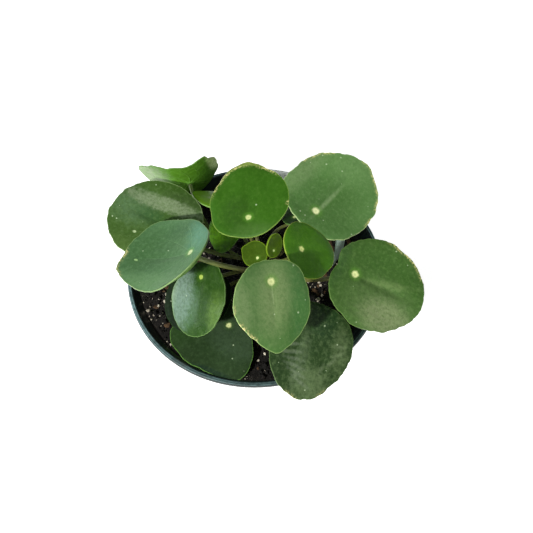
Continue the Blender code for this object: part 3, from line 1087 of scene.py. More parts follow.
@dataclass(frozen=True)
class BarkFinish:
    """The trunk's skin: brown cork with pale leaf scars and a green flush towards the top."""

    bark: Colour = screen(104, 74, 50)
    crack: Colour = screen(46, 32, 24)
    scar: Colour = screen(172, 142, 104)
    flush: Colour = screen(122, 128, 62)
    flush_from: float = 6 * MM
    flush_to: float = 24 * MM

    def dress(self) -> Material:
        """Makes the material. The mesh's `scar` value marks the scars.

        Returns:
            The material.
        """
        paint = Paint("trunk bark", self.crack, roughness=0.75, specular=0.35)
        graph = paint.graph
        cracks = graph.noise(graph.shifted(paint.place, (1, 1, 0.22)), 900.0, 4.0, 0.7)
        paint.coat(paint.tone(210.0, 2.2), self.bark)
        paint.coat(graph.step(cracks, 0.55, 0.7, 0.0, 0.7), self.crack)
        paint.coat(paint.attribute("scar") * 0.6, self.scar)
        height = graph.parts(paint.place)[2]
        paint.coat(graph.step(height, POT.height + self.flush_from, POT.height + self.flush_to, 0.0, 0.7),
                   self.flush)
        paint.bump(cracks, 0.35 * MM)
        return paint.done()


@dataclass(frozen=True)
class BudFinish:
    """The folded new leaf's skin: a pale yellowish green in fine streaks."""

    deep: Colour = screen(118, 128, 60)
    pale: Colour = screen(190, 190, 128)

    def dress(self) -> Material:
        """Makes the material.

        Returns:
            The material.
        """
        paint = Paint("new leaf", self.deep, roughness=0.45)
        paint.coat(paint.tone(260.0, 2.0), self.pale)
        streaks = paint.graph.shifted(paint.place, (1, 1, 0.2))
        paint.bump(paint.graph.noise(streaks, 1200.0, 2.0), 0.15 * MM)
        return paint.done()


@dataclass
class Trunk:
    """The woody trunk that carries every leaf, with the scars of the leaves it has shed."""

    foot: Vector = Vector((7 * MM, 4 * MM, 0))
    lean: Vector = Vector((-1.5 * MM, -11 * MM, 0))
    top: float = POT.height + 24 * MM
    in_soil: float = 18 * MM
    foot_radius: float = 4.8 * MM
    top_radius: float = 3.4 * MM
    scar_pitch: float = 6.6 * MM
    scar_share: float = 0.16
    scar_swell: float = 1.07
    scar_turn: float = math.radians(137.5)
    roughness: float = 0.05
    roughness_size: float = 2.6 * MM
    ground: float = POT.height - 15.5 * MM
    sides: int = 40
    rings: int = 96
    tip_height: float = 9.5 * MM
    tip_radius: float = 1.3 * MM
    tip_rings: int = 22
    seam_depth: float = 0.22
    seam_width: float = 0.28

    def share(self, height: float) -> float:
        """Returns how far up the trunk a height is, 0 at the soil and 1 at the top."""
        return (height - self.ground) / (self.top - self.ground)

    def centre(self, height: float) -> Vector:
        """Returns the trunk's middle at a height."""
        return self.foot + self.lean * max(self.share(height), 0) ** 1.5 + Vector((0, 0, height))

    def radius(self, height: float) -> float:
        """Returns the trunk's radius at a height, between its scars."""
        return self.foot_radius + (self.top_radius - self.foot_radius) * min(max(self.share(height), 0), 1)

    def build(self) -> None:
        """Makes the trunk and the folded new leaf on its top."""
        bottom = self.ground - self.in_soil
        heights = [bottom + (self.top - bottom) * step / self.rings for step in range(self.rings + 1)]
        trunk = Bench.lathe("woody_trunk", [(self.radius(height), height) for height in heights], self.sides)
        scars = trunk.data.attributes.new("scar", "FLOAT", "POINT")
        for vertex in trunk.data.vertices:
            height = vertex.co.z
            swell, scar = self._relief(height, math.atan2(vertex.co.y, vertex.co.x))
            away = Vector((vertex.co.x, vertex.co.y, 0)) * swell
            vertex.co = self.centre(height) + away
            scars.data[vertex.index].value = scar
        Bench.finish(trunk, smooth_below=60)
        trunk.data.materials.append(BarkFinish().dress())
        carry(trunk, "bark", "trunk")
        self._growing_tip()

    def _relief(self, height: float, angle: float) -> tuple[float, float]:
        """Finds the trunk's relief at a point.

        Args:
            height: The point's height.
            angle: Its direction from the trunk's middle.

        Returns:
            How much the trunk swells there, and how much of a scar is there.
        """
        rank = (height - self.ground + self.in_soil) / self.scar_pitch
        ring = math.exp(-((rank - round(rank)) / self.scar_share) ** 2)
        scar = ring * ease(math.cos(angle - round(rank) * self.scar_turn), 0.35, 0.8)
        around = Vector((2.2 * math.cos(angle), 2.2 * math.sin(angle), height / self.roughness_size))
        rough = self.roughness * noise.fractal(around, 0.6, 2.0, 3)
        return 1 + (self.scar_swell - 1) * ring - 0.05 * scar + rough, scar

    def _growing_tip(self) -> None:
        """Makes the folded new leaf: a pointed bud with a seam down its front."""
        foot = self.centre(self.top)
        onward = (foot - self.centre(self.top - MM)).normalized()
        profile = []
        for row in range(self.tip_rings + 1):
            share = row / self.tip_rings
            fat = math.sin(math.pi * min(share * 0.72 + 0.16, 1.0)) ** 0.8
            profile.append((max(self.tip_radius * fat, 0.05 * MM), self.tip_height * share))
        bud = Bench.lathe("folded_new_leaf", profile, 28)
        turn = Vector((0, 0, 1)).rotation_difference(onward).to_matrix()
        for vertex in bud.data.vertices:
            x, y, z = vertex.co
            off = (math.atan2(y, x) + math.pi / 2) / self.seam_width
            seam = 1 - self.seam_depth * math.exp(-off ** 2)
            vertex.co = foot + turn @ Vector((x * 1.15 * seam, y * 0.85 * seam, z))
        Bench.finish(bud)
        bud.data.materials.append(BudFinish().dress())
        carry(bud, "new_leaf", "growing_tip")


TRUNK = Trunk()


@dataclass(frozen=True)
class LabelFinish:
    """Pale weathered plastic, soiled towards the foot."""

    plastic: Colour = screen(200, 236, 216)
    bleached: Colour = screen(226, 250, 236)
    soil: Colour = screen(96, 84, 70)
    soil_from: float = 16 * MM
    soil_to: float = 2 * MM

    def dress(self) -> Material:
        """Makes the material.

        Returns:
            The material.
        """
        paint = Paint("label plastic", self.plastic, roughness=0.4)
        graph = paint.graph
        tone = paint.tone(120.0, 1.6)
        paint.coat(tone, self.bleached)
        height = graph.parts(paint.place)[2] + tone * (12 * MM)
        paint.coat(graph.step(height, POT.height - self.soil_from, POT.height - self.soil_to, 0.6, 0.0),
                   self.soil)
        paint.bump(graph.noise(paint.place, 700.0, 2.0), 0.05 * MM)
        return paint.done()


@dataclass
class PlantLabel:
    """The blank plastic label that stands in the soil."""

    width: float = 12 * MM
    thick: float = 0.8 * MM
    at: Vector = Vector((52 * MM, 14 * MM, 0))
    turn: float = math.radians(55)
    top: float = POT.height + 22 * MM
    shoulder: float = POT.height - 20.5 * MM
    point: float = POT.height - 32.5 * MM
    point_share: float = 0.12
    corner: float = 2.5 * MM
    edge_round: float = 0.15 * MM

    def build(self) -> None:
        """Cuts the label from a slab: a round-cornered top and a pointed foot."""
        Bench.take()
        bpy.ops.mesh.primitive_cube_add(size=1.0, location=(0, 0, (self.top + self.shoulder) / 2),
                                        scale=(self.width, self.thick, self.top - self.shoulder))
        label = Bench.named("blank_label")
        bpy.ops.object.transform_apply(location=True, rotation=True, scale=True)
        same = 0.01 * MM
        with Bench.editing(label):
            shape = bmesh.from_edit_mesh(label.data)
            for face in shape.faces:
                face.select_set(face.normal.z < -0.9)
            bmesh.update_edit_mesh(label.data)
            bpy.ops.mesh.extrude_region_move(
                TRANSFORM_OT_translate={"value": (0, 0, self.point - self.shoulder)})
            bpy.ops.transform.resize(value=(self.point_share, 1, 1), center_override=(0, 0, self.point))
            bpy.ops.mesh.select_all(action="DESELECT")
            shape = bmesh.from_edit_mesh(label.data)
            for edge in shape.edges:
                start, run = edge.verts[0].co, edge.verts[0].co - edge.verts[1].co
                edge.select_set(start.z > self.top - 0.1 * MM and abs(run.z) < same and abs(run.x) < same)
            bmesh.update_edit_mesh(label.data)
            bpy.ops.mesh.bevel(offset=self.corner, segments=8, affect="EDGES")
        soft = label.modifiers.new("soft edges", "BEVEL")
        soft.width = self.edge_round
        soft.segments = 2
        label.data.transform(Matrix.Translation(self.at) @ Matrix.Rotation(self.turn, 4, "Z"))
        Bench.finish(label, smooth_below=40)
        label.data.materials.append(LabelFinish().dress())
        carry(label, "label_plastic", "plant_label")


class Side(Enum):
    """The faces of a blade, by material index."""

    UPPER = 0
    UNDER = 1


@dataclass(frozen=True)
class PaintedLight:
    """A soft oval patch painted on a blade's skin: the paler ones are painted sheen and reflections, the
    darker ones painted shadow. Lengths are in millimetres from the dot.

    Attributes:
        at: Its middle, along and across the midrib.
        size: Its half-length and half-width.
        colour: Its colour, as a screen shows it.
        share: How much it covers, 0 to 1.
        turn: Its turn from the midrib, in degrees.
        soft: How soft its edge is, 0 to 1.
        ragged: How far its edge wanders, as a share of its size.
    """

    at: tuple[float, float]
    size: tuple[float, float]
    colour: Colour
    share: float = 0.8
    turn: float = 0.0
    soft: float = 0.4
    ragged: float = 0.5


@dataclass(frozen=True)
class BladeFinish:
    """The skin of one blade. Its colours are as a screen shows them.

    Attributes:
        colour: The upper side's green.
        shade: The darker green that it drifts to.
        light: The paler green of its nerves, quilting and halo.
        margin: The colour of its thin edge.
        under: The underside's green.
        halo: The bright green around the dot.
        dot: The pale dot over the stalk.
        dot_radius: The dot's radius in millimetres.
        roughness: How matt the wax is.
        quilting: How strongly the skin is quilted, 0 to 1.
        veining: How clearly the nerves show, 0 to 1.
        dust: How many white specks it has, 0 to 1.
        specular: How strongly the wax mirrors.
        films: The painted sheen, reflections and shadows on its upper side.
        under_films: The painted sheen and glare on its underside.
    """

    colour: Colour
    shade: Colour
    light: Colour
    margin: Colour = (98, 130, 70)
    under: Colour = (76, 110, 48)
    halo: Colour = (96, 150, 48)
    dot: Colour = (214, 224, 156)
    dot_radius: float = 2.3
    roughness: float = 0.36
    quilting: float = 0.3
    veining: float = 0.12
    dust: float = 0.3
    specular: float = 0.3
    films: tuple[PaintedLight, ...] = ()
    under_films: tuple[PaintedLight, ...] = ()

    dust_colour = (196, 216, 176)
    dry = (218, 208, 142)
    dead = (150, 112, 64)

    def upper(self, name: str, reach: float) -> Material:
        """Makes the waxy upper side.

        Args:
            name: The blade's name.
            reach: The length from the dot to the tip, in millimetres.

        Returns:
            The material, which reads the mesh's `plan`, `rim` and `blemish` values.
        """
        shade, light = screen(*self.shade), screen(*self.light)
        paint = Paint(name + " upper", shade, specular=self.specular)
        graph = paint.graph
        place, marks = self._laid_out(paint, name, reach, self.dot_radius)
        wide = graph.use(Mottle, Place=place, Scale=0.055, Contrast=2.4)
        narrow = graph.noise(place, 0.3, 4.0, 0.6)
        paint.coat(wide, screen(*self.colour))
        paint.coat(graph.step(narrow, 0.5, 0.8, 0.0, 0.35 + 0.5 * self.quilting), light)
        # Painted sheen, reflections and shadows, laid as coloured patches.
        self._paint_light(self.films, paint)
        fine = graph.noise(place, 0.5, 4.0, 0.68)
        freckled = 0.13 + 0.24 * self.quilting
        paint.coat(graph.step(fine, 0.49, 0.66, 0.0, 1.25 * freckled), light)
        paint.coat(graph.step(fine, 0.34, 0.51, freckled, 0.0), tuple(channel * 0.66 for channel in shade))
        paint.coat(marks["Net"] * (0.2 * self.veining), light)
        paint.coat(marks["Nerves"] * (0.55 * self.veining), light)
        paint.coat(marks["Halo"] * 0.32, screen(*self.halo))
        self._edge(paint, place)
        paint.coat(marks["Dot"], screen(*self.dot))
        dust = graph.use(Specks, Place=place, Scale=0.34, Amount=0.05 * self.dust, Radius=0.13)
        paint.coat(dust * 0.55, screen(*self.dust_colour))
        paint.set("Roughness", wide * 0.16 + narrow * 0.12 + (self.roughness - 0.14))
        height = narrow * (0.35 + 1.4 * self.quilting) - marks["Nerves"] * (0.8 * self.veining)
        paint.bump(height - marks["Net"] * 0.07 + graph.noise(place, 2.0, 3.0, 0.6) * 0.24, 0.24 * MM)
        return paint.done()

    def lower(self, name: str, reach: float) -> Material:
        """Makes the paler, matt underside, on which the nerves stand out.

        Args:
            name: The blade's name.
            reach: The length from the dot to the tip, in millimetres.

        Returns:
            The material, which reads the mesh's `plan` value.
        """
        under = screen(*self.under)
        pale = tuple(min(channel * 1.5 + 0.03, 1.0) for channel in under)
        deep = tuple(channel * 0.7 for channel in under)
        paint = Paint(name + " under", deep, roughness=0.55, specular=0.2)
        place, marks = self._laid_out(paint, name, reach, self.dot_radius * 1.2)
        paint.coat(paint.graph.use(Mottle, Place=place, Scale=0.09, Contrast=1.8), under)
        # Painted sheen on the underside.
        self._paint_light(self.under_films, paint)
        for mark, share in (("Net", 0.18), ("Nerves", 0.3), ("Dot", 0.8)):
            paint.coat(marks[mark] * share, pale)
        paint.bump(marks["Nerves"] + marks["Net"] * 0.3, 0.3 * MM)
        return paint.done()

    @staticmethod
    def _laid_out(paint: Paint, name: str, reach: float, dot_radius: float) -> tuple[Wire, Wire]:
        """Lays a blade's patterns out, shifted by its name so that no two blades share them.

        Args:
            paint: The material.
            name: The blade's name.
            reach: The length from the dot to the tip, in millimetres.
            dot_radius: The dot's radius in millimetres.

        Returns:
            The shifted place on the blade, in millimetres, and its marks.
        """
        total = sum(ord(letter) * (index + 1) for index, letter in enumerate(name))
        own = (float(total % 97) * 3.1, float(total % 53) * 5.7, 0.0)
        plan = paint.attribute("plan", "Vector")
        marks = paint.graph.use(LeafMarks, Plan=plan, Reach=reach, Dot_Radius=dot_radius, Shift=own)
        return paint.graph.shifted(plan, (1, 1, 0), own), marks

    @staticmethod
    def _paint_light(films: Sequence[PaintedLight], paint: Paint) -> None:
        """Lays the painted sheen, reflections and shadows over the colour.

        Args:
            films: The patches of painted light, the lowest first.
            paint: The material.
        """
        place = paint.graph.shifted(paint.attribute("plan", "Vector"), (1, 1, 0))
        for film in films:
            oval = paint.graph.use(Patch, Place=place, At=(*film.at, 0), Turn=(0, 0, math.radians(film.turn)),
                                   Size=(*film.size, 1), Soft=film.soft, Ragged=film.ragged * 2,
                                   Share=film.share)
            paint.coat(oval, screen(*film.colour))

    def _edge(self, paint: Paint, place: Wire) -> None:
        """Adds the thin margin, and the dry spots where the mesh says that the edge is spoiled.

        Args:
            paint: The material.
            place: The shifted place on the blade.
        """
        graph = paint.graph
        uneven = paint.attribute("rim") + graph.noise(place, 0.5, 2.0) * 0.6
        paint.coat(graph.step(uneven, 0.6, 1.6, 0.75, 0.0), screen(*self.margin))
        spoiled = paint.attribute("blemish")
        torn = graph.noise(place, 0.8, 3.0, 0.65)
        paint.coat(spoiled * graph.step(torn, 0.44, 0.56) * 0.9, screen(*self.dry))
        paint.coat(spoiled * graph.step(torn, 0.64, 0.7) * 0.6, screen(*self.dead))


@dataclass(frozen=True)
class StalkFinish:
    """The skin of one stalk: brownish at the trunk, greener at the blade."""

    foot: Colour
    top: Colour
    streak: Colour = screen(160, 158, 104)

    def dress(self, name: str) -> Material:
        """Makes the material.

        Args:
            name: The leaf's name.

        Returns:
            The material, which reads how far up the stalk a point is from the mesh's `run` value.
        """
        paint = Paint(name + " stalk", self.foot, roughness=0.45)
        graph = paint.graph
        paint.coat(graph.step(paint.attribute("run") + paint.tone(190.0, 1.8) * 0.25, 0.1, 1.05), self.top)
        streaks = graph.noise(paint.place, 620.0, 3.0, 0.6)
        paint.coat(graph.step(streaks, 0.5, 0.78, 0.0, 0.3), self.streak)
        paint.bump(streaks, 0.12 * MM)
        return paint.done()


@dataclass(frozen=True)
class Stretch:
    """A stretch of a blade's edge where something differs.

    Attributes:
        at: Its middle, in degrees from the tip.
        half_width: Its half-width in degrees.
        strength: How much differs there: a share, or millimetres.
    """

    at: float
    half_width: float
    strength: float = 1.0

    def weight(self, angle: float, ramp: float) -> float:
        """Returns the strength at an angle, which grows over the outer `ramp` of the stretch."""
        away = abs((math.degrees(angle) - self.at + 180) % 360 - 180)
        return self.strength * ease(self.half_width - away, 0, self.half_width * ramp)


@dataclass(frozen=True)
class Leaf:
    """One leaf. Lengths are in millimetres, angles in degrees, bends in 1/metre.

    Attributes:
        name: Its name in the CAD, without "leaf_".
        spot: Where the stalk meets the blade: x, y and the height over the pot's rim.
        lean: How far the blade leans from level.
        lean_to: The compass direction that it leans to.
        heading: The compass direction of its midrib.
        length: The blade's length.
        width: The blade's width.
        base: The share of its length behind the spot.
        bends: Its bend along and across, and its twist.
        stalk: The height over the rim where the stalk leaves the trunk, its direction and climb
            there, how far it keeps to each end's direction, and its radius.
        skin: Its finish.
        tip: How pointed it is.
        corner: How angular its outline is.
        corner_at: Where its corners are.
        wave: How wavy its edge is.
        scallop: How deep the notches of its edge are.
        valley: How deep the midrib lies.
        quilt: How high the skin is quilted.
        curl: How far the edge turns down.
        curls: Where it turns further down, or up if negative.
        margin: The width of its pale edge.
        wide_margin: Where that edge is wider.
        bulges: Where the outline stands out or in, in millimetres.
        blemishes: Where its edge is spoiled.
        brown: How brown its stalk is, 0 to 1.
    """

    name: str
    spot: tuple[float, float, float]
    lean: float
    lean_to: float
    heading: float
    length: float
    width: float
    base: float
    bends: tuple[float, float, float]
    stalk: tuple[float, float, float, float, float, float]
    skin: BladeFinish
    tip: float = 0.03
    corner: float = 0.0
    corner_at: float = 0.0
    wave: float = 0.35
    scallop: float = 0.25
    valley: float = 0.35
    quilt: float = 0.05
    curl: float = 0.3
    curls: tuple[Stretch, ...] = ()
    margin: float = 0.4
    wide_margin: tuple[Stretch, ...] = ()
    bulges: tuple[Stretch, ...] = ()
    blemishes: tuple[Stretch, ...] = ()
    brown: float = 0.6

    thick = 0.8
    edge_round = 0.26
    seat_gap = 0.39
    waves = 5
    corners = 3
    tip_sharpness = 6
    grown_length = 45
    dimple_depth = 0.45
    dimple_width = 2.4
    valley_width = 2.6
    quilt_size = 5.2
    blemish_depth = 1.9
    stalk_thinning = 0.2
    stalk_foot = 0.22
    collar = 1.0
    collar_rings = ((0.45, 1.06), (0.45, 1.16), (0.55, 1.35))
    stalk_foot_colours = (screen(84, 104, 42), screen(92, 68, 44))
    stalk_top_colours = (screen(98, 126, 54), screen(96, 98, 52))

    @property
    def reach(self) -> float:
        """Returns the length from the spot to the tip, in millimetres."""
        return self.length * (1 - self.base)

    @property
    def scale(self) -> float:
        """Returns how large the leaf is beside a grown one, for its small features."""
        return min(self.length / self.grown_length, 1.0)

    def axes(self) -> tuple[Vector, Vector, Vector, Vector]:
        """Places the blade.

        Returns:
            The spot, and the blade's directions along, across and up.
        """
        lean, lean_to, heading = (math.radians(angle) for angle in (self.lean, self.lean_to, self.heading))
        spot = Vector(self.spot) * MM + Vector((0, 0, POT.height))
        up = Vector((math.sin(lean) * math.cos(lean_to), math.sin(lean) * math.sin(lean_to), math.cos(lean)))
        along = Vector((math.cos(heading), math.sin(heading), 0))
        along = (along - up * along.dot(up)).normalized()
        return spot, along, up.cross(along), up

    def outline(self, angle: float) -> tuple[float, float]:
        """Finds a point of the blade's edge in its own plane.

        Args:
            angle: The point's direction, from the tip's.

        Returns:
            The point from the spot, in millimetres.
        """
        swell = 1 + self.tip * ((1 + math.cos(angle)) / 2) ** self.tip_sharpness
        swell += self.corner * math.cos(self.corners * (angle - math.radians(self.corner_at)))
        x = self.length * (0.5 - self.base) + self.length / 2 * swell * math.cos(angle)
        return x, self.width / 2 * swell * math.sin(angle)

    def notch(self, angle: float) -> float:
        """Finds how far the scalloped edge stands in.

        Args:
            angle: The direction, as the outline counts it.

        Returns:
            The distance, in millimetres.
        """
        around = Vector((math.cos(angle), math.sin(angle), 0)) * self.length / 7.5
        around.z = float(len(self.name)) + self.heading
        ripple = noise.noise(around) + 0.4 * noise.noise(around * 2.7)
        return self.scallop * (0.5 - 1.6 * ripple)

    def lift(self, x: float, y: float, share: float, angle: float) -> float:
        """Finds how far the blade rises from its plane.

        Args:
            x: The distance from the spot along the midrib, in millimetres.
            y: The distance across it, in millimetres.
            share: The share of the way from the middle to the edge.
            angle: The direction, as the outline counts it.

        Returns:
            The rise, in millimetres.
        """
        along, across, twist = self.bends
        rise = (along * x * x + across * y * y + twist * x * y) * MM
        rise += self.wave * share ** 3 * math.sin(self.waves * angle + self.heading)
        dimple = math.exp(-(x * x + y * y) / (2 * (self.dimple_width * self.scale) ** 2))
        rise -= self.dimple_depth * self.scale * dimple
        valley = self.valley * math.exp(-(y / self.valley_width) ** 2)
        rise -= valley * ease(x, 0.5, 7) * ease(self.reach - x, 0, self.reach * 0.5)
        at = Vector((x / self.quilt_size, y / self.quilt_size, float(len(self.name)) * 3.3 + self.length))
        rise += self.quilt * noise.fractal(at, 0.7, 2.0, 2) * ease(1 - share, 0, 0.2)
        return rise - (self.curl + self._sum(self.curls, angle)) * ease(share, 0.8, 1.0) ** 2

    @staticmethod
    def _sum(parts: Sequence[Stretch], angle: float, ramp: float = 1.0) -> float:
        """Returns what all the stretches of a kind add up to at an angle."""
        return sum(part.weight(angle, ramp) for part in parts)

    def build(self, pattern: Piece) -> None:
        """Makes the blade and its stalk.

        Args:
            pattern: The disc that the blade is shaped from.
        """
        title = "blade " + self.name
        age = "young" if self.name in YOUNG else "mature"
        blade = self._blade(pattern, self.skin.upper(title, self.reach), self.skin.lower(title, self.reach))
        carry(blade, "leaf_" + age, f"leaf_{self.name}_blade")
        stalk = self._stalk()
        browned = StalkFinish(foot=blend(*self.stalk_foot_colours, self.brown),
                              top=blend(*self.stalk_top_colours, self.brown))
        stalk.data.materials.append(browned.dress(self.name))
        carry(stalk, "stalk_" + age, f"leaf_{self.name}_stalk")

    def _blade(self, pattern: Piece, *skins: Material) -> Piece:
        """Shapes the blade, thickens it and rounds its edge.

        Args:
            pattern: The disc that it is shaped from.
            skins: The materials of its upper side and its underside.

        Returns:
            The blade, whose mesh carries what its skins read.
        """
        Bench.take(pattern)
        bpy.ops.object.duplicate()
        blade = Bench.named(self.name + "_blade")
        mesh = blade.data
        for skin in skins:
            mesh.materials.append(skin)
        spot, along, across, up = self.axes()
        for name, kind in (("plan", "FLOAT_VECTOR"), ("rim", "FLOAT"), ("blemish", "FLOAT")):
            mesh.attributes.new(name, kind, "POINT")
        plan, rim, spoiled = (mesh.attributes[name] for name in ("plan", "rim", "blemish"))
        for index, vertex in enumerate(mesh.vertices):
            share = math.hypot(vertex.co.x, vertex.co.y)
            angle = math.atan2(vertex.co.y, vertex.co.x)
            edge_x, edge_y = self.outline(angle)
            span = math.hypot(edge_x, edge_y)
            pulled = 1 + self._sum(self.bulges, angle) / span * ease(share, 0.2, 1.0)
            pulled -= self.notch(angle) / span * ease(share, 0.86, 1.0)
            x, y = edge_x * share * pulled, edge_y * share * pulled
            vertex.co = spot + (along * x + across * y + up * self.lift(x, y, share, angle)) * MM
            inwards = (1 - share) * self._depth(angle)
            plan.data[index].vector = (x, y, share)
            rim.data[index].value = inwards / (self.margin + self._sum(self.wide_margin, angle, 0.6))
            spoiled.data[index].value = (min(self._sum(self.blemishes, angle, 0.6), 1.0)
                                         * ease(self.blemish_depth - inwards, 0, 1.5))
        body = blade.modifiers.new("thickness", "SOLIDIFY")
        body.thickness = self.thick * MM
        body.offset = 0
        body.material_offset = Side.UNDER.value
        body.material_offset_rim = Side.UPPER.value
        soft = blade.modifiers.new("round edge", "BEVEL")
        soft.width = self.edge_round * MM
        soft.segments = 2
        soft.limit_method = "ANGLE"
        soft.angle_limit = math.radians(50)
        Bench.finish(blade)
        return blade

    def _depth(self, angle: float) -> float:
        """Finds the distance from the spot to the edge's tangent.

        Args:
            angle: The direction, as the outline counts it.

        Returns:
            The distance, in millimetres.
        """
        x, y = self.outline(angle)
        next_x, next_y = self.outline(angle + 0.01)
        run_x, run_y = next_x - x, next_y - y
        return abs(x * run_y - y * run_x) / math.hypot(run_x, run_y)

    def _stalk(self) -> Piece:
        """Bends the stalk from the trunk to the blade's underside.

        Returns:
            The stalk.
        """
        over_rim, toward, climb, keep_low, keep_high, thickness = self.stalk
        spot, _, _, up = self.axes()
        height = POT.height + over_rim * MM
        toward, climb = math.radians(toward), math.radians(climb)
        out = Vector((math.cos(toward), math.sin(toward), 0))
        lead = out * math.cos(climb) + Vector((0, 0, math.sin(climb)))
        leaning = out.dot(TRUNK.centre(height + MM) - TRUNK.centre(height)) / MM
        slant = abs(math.sin(climb) + leaning * math.cos(climb))
        away = TRUNK.radius(height) * TRUNK.scar_swell + POT.gap + thickness * MM * slant
        start = TRUNK.centre(height) + out * away
        end = spot - up * (self.thick / 2 + self.seat_gap + self.collar) * MM
        controls = (start - lead * 0.8 * MM, start + lead * keep_low * MM, end - up * keep_high * MM, end)

        def radius(share: float) -> float:
            """Returns the stalk's radius: swollen at its foot and thinning upwards."""
            body = thickness * (1 - self.stalk_thinning * share)
            return (body + self.stalk_foot * thickness * ease(0.1 - share, 0, 0.1)) * MM

        stalk = Bench.stalk(self.name + "_stalk", controls, radius, cuts=14, sides=16)
        self._mark_run(stalk, controls)
        self._flare(stalk, end, up)
        Bench.finish(stalk)
        return stalk

    @staticmethod
    def _mark_run(stalk: Piece, controls: Sequence[Vector]) -> None:
        """Writes how far up the stalk each point is, 0 to 1.

        Args:
            stalk: The stalk.
            controls: The ends and handles of its curve.
        """
        steps = 40
        middle = geometry.interpolate_bezier(*controls, steps + 1)
        run = stalk.data.attributes.new("run", "FLOAT", "POINT")
        for vertex in stalk.data.vertices:
            nearest = min(range(steps + 1), key=lambda step: (middle[step] - vertex.co).length_squared)
            run.data[vertex.index].value = nearest / steps

    def _flare(self, stalk: Piece, end: Vector, up: Vector) -> None:
        """Draws the stalk's top cap out to the blade, with a widening collar.

        Args:
            stalk: The stalk.
            end: The middle of its top cap.
            up: The direction that the cap faces.
        """
        with Bench.editing(stalk):
            shape = bmesh.from_edit_mesh(stalk.data)
            for face in shape.faces:
                on_top = abs((face.calc_center_median() - end).dot(up)) < 0.05 * MM
                face.select_set(on_top and abs(face.normal.dot(up)) > 0.98 and len(face.verts) > 4)
            bmesh.update_edit_mesh(stalk.data)
            for rise, wider in self.collar_rings:
                bpy.ops.mesh.extrude_region_move(TRANSFORM_OT_translate={"value": up * rise * MM})
                end = end + up * rise * MM
                bpy.ops.transform.resize(value=(wider, wider, wider), center_override=end)


YOUNG = ("crown", "inner_right", "youngest_left", "youngest_right", "inner_back_left", "small_left",
         "behind_crown", "small_right", "back_turned")


def edge(*rows: tuple[float, ...]) -> tuple[Stretch, ...]:
    """Returns the stretches of an edge, from rows of a place, a half-width and, if it isn't 1, a strength."""
    return tuple(Stretch(*row) for row in rows)


def fresh(colour: Colour, shade: Colour, light: Colour, **more: object) -> BladeFinish:
    """Makes the finish of a young blade: smoother, brighter and cleaner than a grown one's.

    Args:
        colour: The upper side's green.
        shade: The darker green that it drifts to.
        light: The paler green of its nerves.
        more: The other settings that are its own.

    Returns:
        The finish.
    """
    settings = {"quilting": 0.12, "veining": 0.08, "dust": 0.06, "roughness": 0.42,
                "specular": 0.2, "under": (104, 144, 56)}
    return BladeFinish(colour, shade, light, **{**settings, **more})


# Painted sheen: pale wavy streaks across front_right's skin.
SHEEN_RIPPLES = (
    *(PaintedLight((11 + 3.6 * n, -11 + 1.5 * n), (0.9, 5.5), (116, 130, 108), 0.5, 14 - 9 * n, soft=0.8, ragged=1.2)
      for n in range(6)),
    *(PaintedLight((8 + 4.6 * n, 17 - n * n), (0.9, 3), (112, 128, 96), 0.4, 25 * n, soft=0.8, ragged=1.2)
      for n in range(4)),
)
